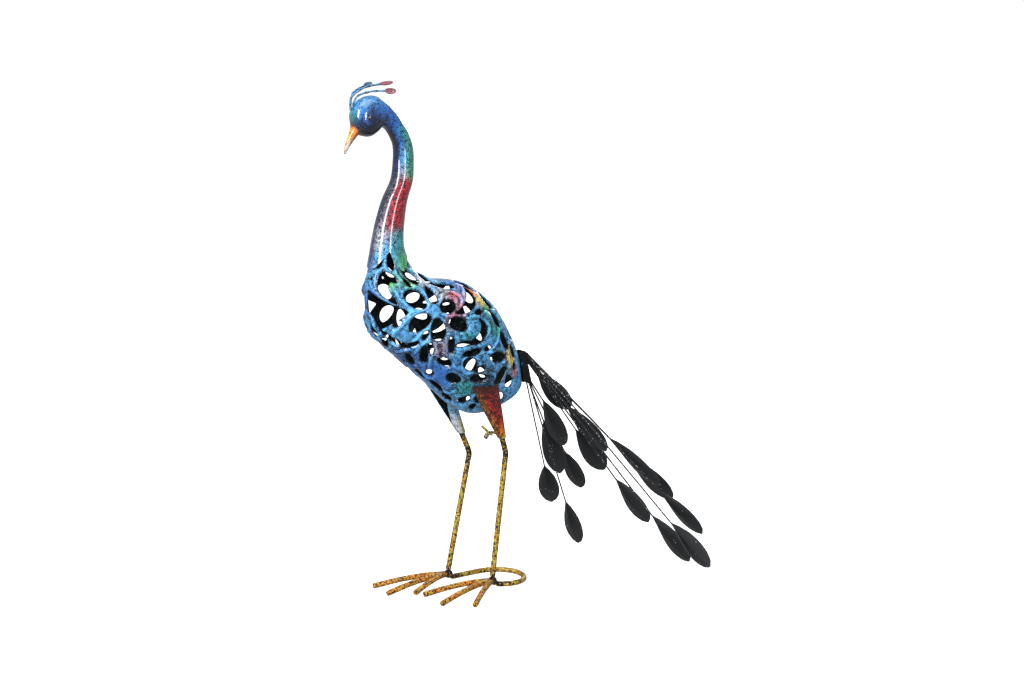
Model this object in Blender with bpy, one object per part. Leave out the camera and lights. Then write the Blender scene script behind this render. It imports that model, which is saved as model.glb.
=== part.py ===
"""Striding peacock for the garden, welded from pressed sheet steel, rod and wire.

The bird faces -X with its left side towards -Y. Every shape is worked out in millimetres and is written in
metres through MM. The pose and the outline are drawn for a bird of DRAWN_HEIGHT and follow HEIGHT, while
sheet, rod, wire and gaps keep their own sizes.
"""
import math

import bmesh
import bpy
import numpy as np
from mathutils import Matrix, Vector
from mathutils.geometry import delaunay_2d_cdt

MM = 0.001

# Whole size: the height over the crest, and the height that the tables below are drawn for
HEIGHT = 727.5
DRAWN_HEIGHT = 727.5
GROWTH = HEIGHT / DRAWN_HEIGHT
TINY = 1e-9

# Sheet, rod and wire
SHEET = 1.2
GAP = 0.4
ROD_RADIUS = 4.2
WIRE_RADIUS = 0.9
LEAF_SHEET = 1.0
SEAM_GAP = 0.5

# Bird's profile from beak to rump: back edge x, z, throat or belly edge x, z, half width
PROFILE = [
    (-195, 629, -194, 628, 1),
    (-194, 639, -188, 638, 3),
    (-189, 653, -179, 650, 5.5),
    (-184, 666, -173, 656, 8.5),
    (-183, 676, -171, 655, 13),
    (-183, 687, -167, 654, 17),
    (-177, 699, -161, 653, 20),
    (-164, 707, -154, 654, 21),
    (-148, 708, -146, 659, 20),
    (-131, 699, -140, 665, 17.5),
    (-117, 685, -133, 663, 15.5),
    (-107, 671, -128, 657, 15),
    (-98, 657, -124, 650, 14.8),
    (-92, 637, -120, 639, 14.8),
    (-91, 617, -120, 619, 15.2),
    (-93, 592, -124, 593, 17),
    (-102, 565, -137, 567, 19),
    (-107, 536, -147, 538, 21),
    (-109, 511, -153, 513, 23.5),
    (-106, 494, -157, 492, 26),
    (-98, 479, -161, 472, 31),
    (-84, 464, -165, 451, 39),
    (-63, 454, -166, 424, 48),
    (-38, 451, -160, 387, 55),
    (-11, 444, -138, 362, 59),
    (17, 425, -112, 340, 60),
    (39, 403, -86, 317, 58),
    (53, 379, -59, 291, 54),
    (65, 356, -34, 269, 48),
    (74, 333, -6, 255, 40),
    (78, 312, 21, 255, 31),
    (81, 296, 46, 264, 22),
]
LAST = len(PROFILE) - 1
# Sections of the neck and head, from the rim up to the beak; the sheet is hollow up to HEAD_HOLLOW_FROM
NECK_ROWS = [16.4, 14.6, 12.9, 11.6, 10.6, 9.7, 8.8, 7.9, 7.0, 6.1, 5.2, 4.3, 3.4, 2.0, 0.8]
HEAD_HOLLOW_FROM = 5.0
# The neck's lower rim: angle round from the back, place along the profile; it has a notch on each side
# between a front tongue and two side tongues
NECK_RIM = [(0, 19.1), (23, 19.15), (46, 19.5), (66, 20.0), (82, 20.35), (96, 19.75), (109, 18.7),
            (130, 19.25), (155, 19.85), (180, 19.95)]
NECK_TUBE_TO = 18.2
BODY_FROM = 18.2
FLAT_ZERO_AT = 19.0
COLLAR_INSET = 2.3
COLLAR_BLEND = (28.0, 44.0)

# Eyes, set by their place along the profile and round the head
EYE_AT = 7.15
EYE_ANGLE = 92.0
EYE_RADIUS = 3.6

# Pierced pattern of one body half, in millimetres on the flat blank: along from the collar, across from
# the middle line, with the back at negative values
SEAM_STRIP = 6.0
END_STRIP = 7.0
CONTOUR_STEP = 1.5
CONTOUR_SLACK = 1.6
SMALLEST_OPENING = 30.0
OPENING_SPREAD = 1.2
SHEET_POINT_STEP = 20.0

# Legs and feet, left then right: ankle, bend and foot weld
ANKLES = {"left": (34.5, -30.0, 217.0), "right": (1.0, 28.0, 217.0)}
BENDS = {"left": (41.0, -29.0, 197.0), "right": (13.0, 28.0, 189.0)}
WELDS = {"left": (16.0, -33.0, 10.0), "right": (-23.0, 29.0, 10.0)}
THIGH_TOPS = {"left": (-6.0, 303.0), "right": (-32.0, 303.0)}
THIGH_TOP_HALF = 22.0
THIGH_TOP_OUT = 50.0
SLEEVE_ROOM = 0.8
SLEEVE_ABOVE_ANKLE = 0.035
THIGH_OPEN_TOP = 78.0
THIGH_OPEN_END = 128.0
THIGH_OFF_BODY = 1.2
THIGH_BULGE = 9.0
LEG_INTO_THIGH = 26.0
WELD_RADIUS = 6.6
SOLE_GROUND_OFF = 0.4
SCREW_WAYS = {"left": (-1.0, 0.1, 0.0), "right": (0.5, 0.86, 0.0)}
SCREW_STANDS_OFF = 8.8
SCREW_HEIGHT = 9.0
TOE_TIPS = {
    "left": [(-92.0, -23.5), (-90.0, -73.0), (-53.0, -102.0)],
    "right": [(-136.0, 50.0), (-134.0, 8.0), (-99.0, -10.5)],
}
LOOP_ROUTE = [(-13.0, 31.5), (8.0, 33.0), (30.0, 34.5), (50.0, 32.0), (66.0, 22.0), (76.0, 8.0), (79.0, -7.0),
              (76.0, -22.0), (68.0, -34.0), (53.0, -42.0), (38.0, -41.0), (26.0, -35.5)]

# Crest wires: the route of each
CREST = {
    "left": [(-181, -5, 701), (-175, -7, 709), (-157, -10, 712), (-138, -13, 711)],
    "centre": [(-184, 0, 700), (-180, 0, 709), (-163, 0, 719), (-139, 0, 723.5)],
    "right": [(-181, 5, 701), (-177, 8, 711), (-167, 11, 717), (-155, 15, 721)],
}
CREST_WIRE = 1.5
# Each paddle's length, width and turn about its own wire in degrees
CREST_PADDLES = {"left": (15.0, 9.0, 60.0), "centre": (19.0, 8.0, 35.0), "right": (14.0, 9.0, 40.0)}

# Tail bracket and feathers: heading off the tail line (left positive), drop, whole length, leaf length, twist
BRACKET_TOP = (86.0, 338.0)
BRACKET_BOTTOM = (97.0, 289.0)
BRACKET_WIDTH = 20.0
BRACKET_WEB = 2.0
LEAF_WIDTH = 33.0
LEAF_DISH = 5.0
LEAF_FOLD = 52.0
LEAF_OPEN = 14.0
FEATHERS = {
    "left_1": (47, 46.5, 408, 85, 30), "left_2": (36, 51.0, 392, 89, -55), "left_3": (27, 45.5, 384, 93, -42),
    "left_4": (19, 53.5, 326, 87, -45), "left_5": (22, 44.5, 290, 110, -35), "left_6": (14, 44.5, 334, 100, -48),
    "centre_1": (7, 48.5, 208, 102, -40), "centre_2": (-2, 52.0, 242, 87, -55), "centre_3": (-9, 45.0, 130, 90, -45),
    "right_1": (-12, 60.0, 170, 87, -20), "right_2": (-25, 55.0, 284, 82, -5), "right_3": (-30, 59.0, 236, 108, -30),
    "right_4": (-45, 54.0, 334, 88, -10), "right_5": (-23, 65.0, 350, 82, 0),
}
FAN_CENTRE = (87.0, 0.0, 330.0)
STEEP_FROM = 25.0
WELD_ROOM = 0.4
# Each feather's weld on the bracket: across (left positive) and down from the bracket's top
ROOTS = {
    "left_1": (9.0, 3.0), "left_2": (9.0, 8.0), "left_3": (6.7, 3.0), "left_4": (6.7, 13.0),
    "left_5": (4.4, 3.0), "left_6": (4.4, 8.0), "centre_1": (2.1, 8.0), "centre_2": (2.1, 14.0),
    "centre_3": (2.1, 3.0), "right_1": (-0.2, 43.0), "right_5": (-2.5, 46.0), "right_2": (-4.8, 40.0),
    "right_3": (-7.1, 37.0), "right_4": (-9.3, 34.0),
}

COLOURS = {
    "blue": ((0.10, 0.33, 0.62, 1), 0.35, 0.6),
    "red": ((0.62, 0.12, 0.05, 1), 0.4, 0.5),
    "gold": ((0.55, 0.36, 0.10, 1), 0.45, 0.6),
    "graphite": ((0.05, 0.05, 0.05, 1), 0.55, 0.6),
    "eye": ((0.01, 0.01, 0.02, 1), 0.1, 0.0),
}


def grown(table):
    """A point or a table of points, drawn for DRAWN_HEIGHT, at the bird's own size."""
    if isinstance(table, dict):
        return {key: grown(value) for key, value in table.items()}
    if isinstance(table, list):
        return [grown(value) for value in table]
    return Vector(table) * GROWTH


def clear_scene():
    """Removes whatever the file opens with."""
    for thing in list(bpy.data.objects):
        bpy.data.objects.remove(thing)


def material(name):
    """A Principled material of one named colour."""
    made = bpy.data.materials.get(name)
    if made:
        return made
    colour, roughness, metallic = COLOURS[name]
    made = bpy.data.materials.new(name)
    made.use_nodes = True
    shader = made.node_tree.nodes["Principled BSDF"]
    shader.inputs["Base Color"].default_value = colour
    shader.inputs["Roughness"].default_value = roughness
    shader.inputs["Metallic"].default_value = metallic
    return made


def solid(name, points, faces, colour, smooth=True):
    """A named object from points in millimetres."""
    mesh = bpy.data.meshes.new(name)
    mesh.from_pydata([tuple(MM * c for c in p) for p in points], [], faces)
    mesh.materials.append(material(colour))
    thing = bpy.data.objects.new(name, mesh)
    bpy.context.scene.collection.objects.link(thing)
    tidy = bmesh.new()
    tidy.from_mesh(mesh)
    bmesh.ops.recalc_face_normals(tidy, faces=tidy.faces)
    tidy.to_mesh(mesh)
    tidy.free()
    if smooth:
        mesh.shade_smooth()
        mesh.set_sharp_from_angle(angle=math.radians(40))
    return thing


def ring_tube(name, rings, colour):
    """Joins rings of equal size in a row and closes both ends with fans."""
    sides = len(rings[0])
    points = [tuple(p) for ring in rings for p in ring]
    faces = []
    for row in range(len(rings) - 1):
        for i in range(sides):
            j = (i + 1) % sides
            faces.append((row * sides + i, row * sides + j, (row + 1) * sides + j, (row + 1) * sides + i))
    for row in (0, len(rings) - 1):
        points.append(tuple(np.mean(np.array(rings[row]), axis=0)))
        hub = len(points) - 1
        faces += [(row * sides + i, row * sides + (i + 1) % sides, hub) for i in range(sides)]
    return solid(name, points, faces, colour)


def rod(name, route, radius, sides, colour, flat_down=False):
    """A rod of round section along a route, with square ends; radius may be one value or one a point."""
    radii = radius if hasattr(radius, "__len__") else [radius] * len(route)
    spots = [Vector(p) for p in route]
    turn = math.pi / sides if flat_down else 0.0
    stretch = 1 / math.cos(math.pi / sides) if flat_down else 1.0
    rings = []
    side = None
    for i, spot in enumerate(spots):
        ahead = spots[min(i + 1, len(spots) - 1)] - spots[max(i - 1, 0)]
        ahead.normalize()
        if flat_down or side is None:
            lead = Vector((0, 0, 1)) if abs(ahead.z) < 0.9 else Vector((1, 0, 0))
            side = ahead.cross(lead).normalized()
        side = (side - ahead * side.dot(ahead)).normalized()
        upright = side.cross(ahead)
        ring = []
        for n in range(sides):
            angle = 2 * math.pi * n / sides + turn
            reach = side * math.cos(angle) + upright * math.sin(angle)
            ring.append(spot + reach * radii[i] * stretch)
        rings.append(ring)
    return ring_tube(name, rings, colour)


def smooth_route(route, steps):
    """Points on a smooth curve through the route's own points."""
    spots = [np.array(p, float) for p in route]
    spots = [2 * spots[0] - spots[1]] + spots + [2 * spots[-1] - spots[-2]]
    made = []
    for i in range(1, len(spots) - 2):
        for n in range(steps):
            made.append(catmull(spots[i - 1], spots[i], spots[i + 1], spots[i + 2], n / steps))
    made.append(spots[-2])
    return made


def catmull(p0, p1, p2, p3, t):
    """Catmull-Rom value between p1 and p2."""
    return 0.5 * (2 * p1 + (p2 - p0) * t + (2 * p0 - 5 * p1 + 4 * p2 - p3) * t * t
                  + (3 * p1 - p0 - 3 * p2 + p3) * t * t * t)


def profile_at(place):
    """The five profile values at a fractional place along it."""
    table = np.array(PROFILE, float) * GROWTH
    place = np.clip(np.asarray(place, float), 0, LAST - TINY)
    row = np.floor(place).astype(int)
    t = (place - row)[..., None]
    return catmull(table[np.maximum(row - 1, 0)], table[row], table[row + 1],
                   table[np.minimum(row + 2, LAST)], t)


def skin(place, angle):
    """A point of the bird's outer skin: angle 0 on the back seam, 90 degrees on the left side."""
    values = profile_at(place)
    angle = np.asarray(angle, float)
    middle_x = (values[..., 0] + values[..., 2]) / 2
    middle_z = (values[..., 1] + values[..., 3]) / 2
    half_x = (values[..., 0] - values[..., 2]) / 2
    half_z = (values[..., 1] - values[..., 3]) / 2
    return np.stack([middle_x + half_x * np.cos(angle), -values[..., 4] * np.sin(angle),
                     middle_z + half_z * np.cos(angle)], -1)


def skin_normal(place, angle):
    """The outward normal of the skin."""
    step = 0.01
    place = np.asarray(place, float)
    angle = np.asarray(angle, float)
    low = np.clip(place - step, 0, LAST)
    high = np.clip(place + step, 0, LAST)
    along = skin(high, angle) - skin(low, angle)
    around = skin(place, angle + step) - skin(place, angle - step)
    normal = np.cross(along, around)
    normal /= np.linalg.norm(normal, axis=-1, keepdims=True)
    values = profile_at(place)
    middle = np.stack([(values[..., 0] + values[..., 2]) / 2, 0 * values[..., 0],
                       (values[..., 1] + values[..., 3]) / 2], -1)
    out = skin(place, angle) - middle
    flip = np.sign((normal * out).sum(-1, keepdims=True))
    return normal * np.where(flip == 0, 1, flip)


def inset_skin(place, angle, depth):
    """A point of the skin moved inwards by depth."""
    depth = np.asarray(depth, float)[..., None]
    return skin(place, angle) - skin_normal(place, angle) * depth


class Blank:
    """The flat sheet of one body half: lengths along the middle line and round the section."""

    def __init__(self):
        places = np.linspace(BODY_FROM, LAST, 241)
        angles = np.linspace(0, math.pi, 61)
        grid = skin(places[:, None] + 0 * angles[None, :], angles[None, :] + 0 * places[:, None])
        steps = np.linalg.norm(np.diff(grid[:, 30], axis=0), axis=1)
        self.places = places
        self.along = np.concatenate([[0], np.cumsum(steps)])
        self.along -= np.interp(FLAT_ZERO_AT, places, self.along)
        self.girth = np.linalg.norm(np.diff(grid, axis=1), axis=2).sum(1)

    def half_girth(self, u):
        """Half of the sheet's width at a distance along it."""
        return np.interp(u, self.along, self.girth) / 2

    def press(self, u, v, depth):
        """The pressed place of a point of the sheet."""
        place = np.interp(u, self.along, self.places)
        angle = math.pi * np.clip(v / (2 * self.half_girth(u)) + 0.5, 0, 1)
        inset = COLLAR_INSET * (1 - np.clip((u - COLLAR_BLEND[0]) / (COLLAR_BLEND[1] - COLLAR_BLEND[0]), 0, 1))
        return inset_skin(place, angle, inset + depth)


def drop(u, v, length, width, way, point=0.0, count=20):
    """An egg-shaped opening: its middle, size and way in degrees; point 1 draws its tail to a tip."""
    turn = np.linspace(0, 2 * math.pi, count, endpoint=False)
    along = length / 2 * np.cos(turn)
    across = width / 2 * np.sin(turn) * (1 + point * 0.75 * np.cos(turn))
    c, s = math.cos(math.radians(way)), math.sin(math.radians(way))
    return np.stack([u + along * c - across * s, v + along * s + across * c], -1)


def smooth_outline(corners, steps=4):
    """A closed smooth outline through a few points."""
    spots = [np.array(p, float) for p in corners]
    n = len(spots)
    return np.array([catmull(spots[i - 1], spots[i], spots[(i + 1) % n], spots[(i + 2) % n], k / steps)
                     for i in range(n) for k in range(steps)])


def crescent(u, v, outer, inner, way, sweep=150.0, count=9):
    """A crescent round a centre, widest in the middle of its sweep."""
    turn = np.radians(way + np.linspace(-sweep / 2, sweep / 2, count))
    fade = np.cos(np.linspace(-math.pi / 2, math.pi / 2, count)) ** 0.7
    out = np.stack([np.cos(turn), np.sin(turn)], -1) * outer
    back = np.stack([np.cos(turn), np.sin(turn)], -1) * (outer - (outer - inner) * fade)[:, None]
    return np.array([u, v]) + np.concatenate([out, back[-2:0:-1]])


def openings():
    """The pierced pattern of one half: the outline of each opening in the sheet."""
    flower = [
        drop(68, 2, 32, 22, 172, 0.25),
        smooth_outline([(21, 24), (27, 12), (36, 11), (34, 19), (41, 27), (52, 29), (64, 28), (57, 35), (44, 41),
                        (29, 35)]),
        drop(100, 22, 34, 19, 250, 0.25),
        crescent(100, 33, 42, 34, 78, 62),
        drop(124, 15, 38, 15, 37, 0.35),
        drop(121, 32, 16, 4, 60),
        drop(124, 60, 26, 6, 96),
        drop(148, 57, 32, 8, 42, 0.5),
        drop(145, 44, 19, 5, 35),
    ]
    chest = [
        smooth_outline([(41, 66), (49, 57), (61, 41), (77, 22), (81, 36), (84, 54), (85, 72), (75, 72), (63, 77)]),
        drop(87, 44, 13, 4, 75),
        drop(108, 90, 24, 6, 55),
        drop(24, 60, 26, 13, 110, 0.3),
        drop(9, 32, 15, 9, 90),
        drop(88, 88, 13, 7, 20),
        drop(64, 90, 22, 8, 10, 0.3),
    ]
    back = [
        drop(5, 8, 27, 9, 12, 0.4),
        drop(33, -14, 28, 12, 155, -0.3),
        drop(41, -3, 12, 4, 172),
        drop(72, -21, 33, 9, 20, 0.3),
        drop(105, -21, 25, 19, 40),
        crescent(106, -44, 31, 16, -12, 140),
        drop(78, -57, 34, 12, 144),
        drop(50, -44, 30, 12, 165, 0.3),
        drop(30, -52, 24, 9, 200, 0.3),
        drop(12, -26, 15, 9, 10),
        drop(148, -42, 11, 7, 113),
        drop(112, -84, 34, 9, 12, 0.3),
        drop(152, -78, 30, 14, 30, 0.3),
        drop(178, -56, 32, 10, 14, 0.3),
        drop(188, -84, 26, 10, 0, 0.3),
    ]
    side = [
        crescent(162, -14, 21, 12, -18, 175),
        drop(138, -7, 27, 17, 0, -0.2),
        drop(157, 20, 26, 6, 38),
        drop(167, 9, 15, 6, 120),
        drop(188, 8, 24, 8, 120),
        drop(200, 19, 19, 14, 168),
        drop(216, 13, 15, 6, 135),
        drop(200, -12, 9, 5, 116),
        drop(217, -44, 32, 11, 8),
        drop(225, -18, 27, 12, 141),
        drop(252, -6, 25, 12, 75),
        drop(272, -10, 19, 11, 20, 0.3),
        drop(246, -48, 22, 10, 15, 0.3),
        drop(222, -68, 22, 9, 10, 0.3),
        drop(266, -32, 10, 6, 38),
    ]
    belly = [
        drop(175, 44, 19, 10, 158),
        drop(182, 75, 11, 8, 75),
        drop(205, 49, 19, 13, 140, 0.3),
        drop(226, 21, 21, 8, 134),
        drop(243, 56, 20, 7, 98),
        drop(254, 33, 18, 9, 60),
        drop(281, 14, 16, 10, 20),
        drop(278, 34, 12, 9, 90),
        drop(262, 52, 12, 6, 80),
        drop(148, 84, 24, 9, 30, 0.3),
        drop(205, 82, 22, 9, 165, 0.3),
        drop(228, 80, 15, 8, 150),
        drop(180, 94, 18, 6, 0),
    ]
    return [outline * GROWTH for outline in flower + chest + back + side + belly]


def signed_distance(points, outline):
    """Distance to a closed outline, positive inside it."""
    a, b = outline, np.roll(outline, -1, axis=0)
    nearest = np.full(len(points), np.inf)
    inside = np.zeros(len(points), bool)
    for p, q in zip(a, b):
        edge = q - p
        share = np.clip(((points - p) @ edge) / max(edge @ edge, TINY), 0, 1)
        nearest = np.minimum(nearest, np.linalg.norm(points - p - share[:, None] * edge, axis=1))
        crosses = (p[1] > points[:, 1]) != (q[1] > points[:, 1])
        rise = q[1] - p[1] if q[1] != p[1] else TINY
        inside ^= crosses & (points[:, 0] < p[0] + (points[:, 1] - p[1]) * (q[0] - p[0]) / rise)
    return np.where(inside, nearest, -nearest)


def pattern_field(blank, points, shapes):
    """How far each point lies inside the sheet's metal, positive on metal."""
    field = np.full(len(points), np.inf)
    for outline in shapes:
        field = np.minimum(field, -signed_distance(points, outline) - OPENING_SPREAD)
    edge = blank.half_girth(points[:, 0]) - np.abs(points[:, 1])
    ends = np.minimum(points[:, 0] - blank.along[0], blank.along[-1] - points[:, 0])
    return np.maximum(field, np.maximum(SEAM_STRIP - edge, END_STRIP - ends))


def contour_loops(us, vs, field):
    """Closed loops where the field is zero, by marching over the grid's squares."""
    links = {}
    places = {}

    def crossing(a, b):
        key = (min(a, b), max(a, b))
        if key not in places:
            fa, fb = field[a], field[b]
            share = fa / (fa - fb)
            pa = np.array((us[a[0]], vs[a[1]]))
            pb = np.array((us[b[0]], vs[b[1]]))
            places[key] = pa + share * (pb - pa)
        return key

    for i in range(len(us) - 1):
        for j in range(len(vs) - 1):
            corners = [(i, j), (i + 1, j), (i + 1, j + 1), (i, j + 1)]
            signs = [field[c] > 0 for c in corners]
            if all(signs) or not any(signs):
                continue
            cuts = [crossing(corners[n], corners[(n + 1) % 4]) for n in range(4) if signs[n] != signs[(n + 1) % 4]]
            pairs = [cuts] if len(cuts) == 2 else [cuts[:2], cuts[2:]]
            for p, q in pairs:
                links.setdefault(p, []).append(q)
                links.setdefault(q, []).append(p)
    loops = []
    left = set(links)
    while left:
        start = min(left)
        loop, spot = [], start
        while spot is not None and spot in left:
            left.discard(spot)
            loop.append(places[spot])
            spot = next((n for n in links[spot] if n in left), None)
        loops.append(np.array(loop))
    return loops


def thinned(loop, slack):
    """A closed loop with only the points that its shape needs."""
    def split(points):
        if len(points) < 3:
            return [points[0]]
        line = points[-1] - points[0]
        long = max(np.linalg.norm(line), TINY)
        off = np.abs(line[0] * (points[:, 1] - points[0][1]) - line[1] * (points[:, 0] - points[0][0])) / long
        if long <= TINY:
            off = np.linalg.norm(points - points[0], axis=1)
        worst = int(off.argmax())
        if off[worst] <= slack:
            return [points[0]]
        return split(points[:worst + 1]) + split(points[worst:])

    far = int(np.linalg.norm(loop - loop[0], axis=1).argmax())
    return np.array(split(loop[:far + 1]) + split(np.concatenate([loop[far:], loop[:1]])))


def area_of(loop):
    """The area inside a closed loop."""
    nxt = np.roll(loop, -1, axis=0)
    return abs((loop[:, 0] * nxt[:, 1] - nxt[:, 0] * loop[:, 1]).sum()) / 2


def pierced_sheet(blank):
    """Triangles of the flat pierced sheet: points and faces."""
    margin = SEAM_STRIP * 0.5
    us = np.arange(blank.along[0] + margin, blank.along[-1] - margin, CONTOUR_STEP)
    widest = blank.girth.max() / 2
    vs = np.arange(-widest, widest, CONTOUR_STEP)
    points = np.stack(np.meshgrid(us, vs, indexing="ij"), -1).reshape(-1, 2)
    field = pattern_field(blank, points, openings()).reshape(len(us), len(vs))
    holes = []
    for loop in contour_loops(us, vs, field):
        if len(loop) < 6 or area_of(loop) < SMALLEST_OPENING:
            continue
        thin = thinned(loop, CONTOUR_SLACK)
        if len(thin) >= 3:
            holes.append(thin)
    edge_us = np.linspace(blank.along[0], blank.along[-1], 30)
    edge = [(u, -blank.half_girth(u)) for u in edge_us]
    end_vs = np.linspace(-1, 1, 7)[1:-1]
    edge += [(blank.along[-1], v * blank.half_girth(blank.along[-1])) for v in end_vs]
    edge += [(u, blank.half_girth(u)) for u in edge_us[::-1]]
    edge += [(blank.along[0], -v * blank.half_girth(blank.along[0])) for v in end_vs]
    every = [np.array(edge)] + holes
    inner = []
    for u in np.arange(blank.along[0] + 8, blank.along[-1] - 4, SHEET_POINT_STEP):
        for v in np.arange(-widest, widest, SHEET_POINT_STEP):
            spot = np.array([[u, v]])
            clear = blank.half_girth(u) - abs(v) > 4
            if clear and all(signed_distance(spot, loop)[0] < -3 for loop in holes):
                inner.append((u, v))
    vertices = [tuple(p) for loop in every for p in loop] + inner
    edges = []
    base = 0
    for loop in every:
        edges += [(base + n, base + (n + 1) % len(loop)) for n in range(len(loop))]
        base += len(loop)
    made = delaunay_2d_cdt([Vector(p) for p in vertices], edges, [], 0, 1e-4)
    flat = np.array([tuple(v) for v in made[0]])
    faces = [tuple(f) for f in made[2]]
    centres = np.array([flat[list(f)].mean(0) for f in faces])
    keep = signed_distance(centres, every[0]) > 0
    for loop in holes:
        keep &= signed_distance(centres, loop) < 0
    return flat, [f for f, k in zip(faces, keep) if k]


def body_half(name, side, flat, faces, blank):
    """One pressed and pierced half of the body; side is -1 on the left and 1 on the right."""
    used = sorted({i for f in faces for i in f})
    renumber = {old: new for new, old in enumerate(used)}
    flat = flat[used]
    faces = [tuple(renumber[i] for i in f) for f in faces]
    outer = blank.press(flat[:, 0], flat[:, 1], 0 * flat[:, 0])
    inner = blank.press(flat[:, 0], flat[:, 1], 0 * flat[:, 0] + SHEET)
    both = np.concatenate([outer, inner])
    both[:, 1] = np.minimum(both[:, 1], 0) - SEAM_GAP / 2
    if side > 0:
        both[:, 1] *= -1
    count = len(flat)
    edges = {}
    for f in faces:
        for n in range(3):
            edges.setdefault(frozenset((f[n], f[(n + 1) % 3])), []).append((f[n], f[(n + 1) % 3]))
    walls = [(e[0][1], e[0][0], e[0][0] + count, e[0][1] + count) for e in edges.values() if len(e) == 1]
    every = list(faces) + [tuple(i + count for i in f[::-1]) for f in faces] + walls
    return solid(name, both, every, "blue")


def neck_and_head():
    """The rolled neck with the head and beak, open below, where two tongues lap over the body."""
    turn, rim = (np.array(column, float) for column in zip(*NECK_RIM))
    angles = np.radians(np.concatenate([turn, 360 - turn[-2:0:-1]]))
    last = np.concatenate([rim, rim[-2:0:-1]])
    level = np.ones(len(angles))
    rings = []
    for place in reversed([row for row in NECK_ROWS if row >= HEAD_HOLLOW_FROM]):
        rings.append(inset_skin(level * place, angles, level * SHEET))
    for share in (0.0, 1.0):
        rings.append(inset_skin(NECK_TUBE_TO + (last - NECK_TUBE_TO) * share, angles, level * SHEET))
    for share in (1.0, 0.0):
        rings.append(skin(NECK_TUBE_TO + (last - NECK_TUBE_TO) * share, angles))
    for place in NECK_ROWS:
        rings.append(skin(level * place, angles))
    return ring_tube("neck_and_head", rings, "blue")


def eye(name, side):
    """A glossy bead let into the side of the head."""
    angle = math.radians(EYE_ANGLE)
    spot = skin(EYE_AT, angle)
    out = skin_normal(EYE_AT, angle)
    flip = np.array([1, -side, 1])
    place, out = Vector(spot * flip), Vector(out * flip)
    side_way = out.cross(Vector((0, 0, 1))).normalized()
    upright = side_way.cross(out)
    rings = []
    for height, share in ((0.5, 1.0), (1.3, 0.92), (2.2, 0.68), (2.8, 0.35)):
        ring = []
        for n in range(10):
            turn = 2 * math.pi * n / 10
            reach = side_way * math.cos(turn) + upright * math.sin(turn)
            ring.append(place + out * height + reach * EYE_RADIUS * share)
        rings.append(ring)
    return ring_tube(name, rings, "eye")


def crest_feather(name, route, paddle):
    """A crest wire with its flattened end."""
    spots = [Vector(p) for p in smooth_route(grown(route), 2)]
    length, width = (GROWTH * size for size in paddle[:2])
    ahead = (spots[-1] - spots[-2]).normalized()
    side = Matrix.Rotation(math.radians(paddle[2]), 3, ahead) @ ahead.cross(Vector((0, 0, 1))).normalized()
    upright = side.cross(ahead)
    rings = []
    for i, spot in enumerate(spots):
        run = (spots[min(i + 1, len(spots) - 1)] - spots[max(i - 1, 0)]).normalized()
        lift = run.cross(Vector((0, 1, 0))).normalized()
        across = run.cross(lift)
        rings.append([spot + (across * math.cos(a) + lift * math.sin(a)) * CREST_WIRE
                      for a in np.arange(6) * math.pi / 3])
    for share, spread in ((0.2, 0.6), (0.6, 1.0), (1.0, 0.4)):
        spot = spots[-1] + ahead * length * share
        rings.append([spot + side * math.cos(a) * width / 2 * spread + upright * math.sin(a) * 0.9
                      for a in np.arange(6) * math.pi / 3])
    return ring_tube(name, rings, "blue")


def side_reach(x, z, table):
    """How far the body's skin stands out at a height and length."""
    near = ((table[:, 0] - x) ** 2 + (table[:, 2] - z) ** 2)
    best = np.argsort(near)[:6]
    close = table[best]
    return float(np.abs(close[:, 1]).max()) if near[best[0]] < 64 else 0.0


def thigh_top(side):
    """The middle of a thigh's upper end."""
    x, z = THIGH_TOPS[side]
    return grown((x, THIGH_TOP_OUT if side == "right" else -THIGH_TOP_OUT, z))


def thigh(name, side, table):
    """A half cone of sheet, open on its inner side, that closes round the leg at the ankle."""
    flip = -1 if side == "left" else 1
    ankle = np.array(grown(ANKLES[side]))
    top = np.array(thigh_top(side))
    rows, columns = 7, 8
    sleeve = ROD_RADIUS + GAP + SHEET + SLEEVE_ROOM
    outer, inner = [], []
    for r in range(rows):
        share = r / (rows - 1)
        x_mid, y_mid, z = top + (ankle - top) * share * (1 - SLEEVE_ABOVE_ANKLE)
        y_mid = abs(y_mid)
        half = THIGH_TOP_HALF * GROWTH + (sleeve - THIGH_TOP_HALF * GROWTH) * share
        reach = THIGH_OPEN_TOP + (THIGH_OPEN_END - THIGH_OPEN_TOP) * share
        bulge = THIGH_BULGE * GROWTH * (1 - share) + sleeve * share
        for c in range(columns):
            angle = math.radians(-reach + 2 * reach * c / (columns - 1))
            row_out, row_in = [], []
            for depth, row in ((0.0, row_out), (SHEET, row_in)):
                x = x_mid + (half - depth) * math.sin(angle)
                y = y_mid + (bulge - depth) * math.cos(angle)
                need = side_reach(x, z, table) + THIGH_OFF_BODY + SHEET - depth
                row.append((x, flip * max(y, need), z))
            outer += row_out
            inner += row_in
    points = outer + inner
    count = len(outer)
    faces = []
    for r in range(rows - 1):
        for c in range(columns - 1):
            a, b = r * columns + c, r * columns + c + 1
            d, e = a + columns, b + columns
            faces += [(a, b, e, d), (count + a, count + d, count + e, count + b)]
    rim = [(c, c + 1) for c in range(columns - 1)]
    rim += [((r + 1) * columns - 1, (r + 2) * columns - 1) for r in range(rows - 1)]
    rim += [(rows * columns - 1 - c, rows * columns - 2 - c) for c in range(columns - 1)]
    rim += [((rows - 1 - r) * columns, (rows - 2 - r) * columns) for r in range(rows - 1)]
    faces += [(a, count + a, count + b, b) for a, b in rim]
    return solid(name, points, faces, "red")


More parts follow.
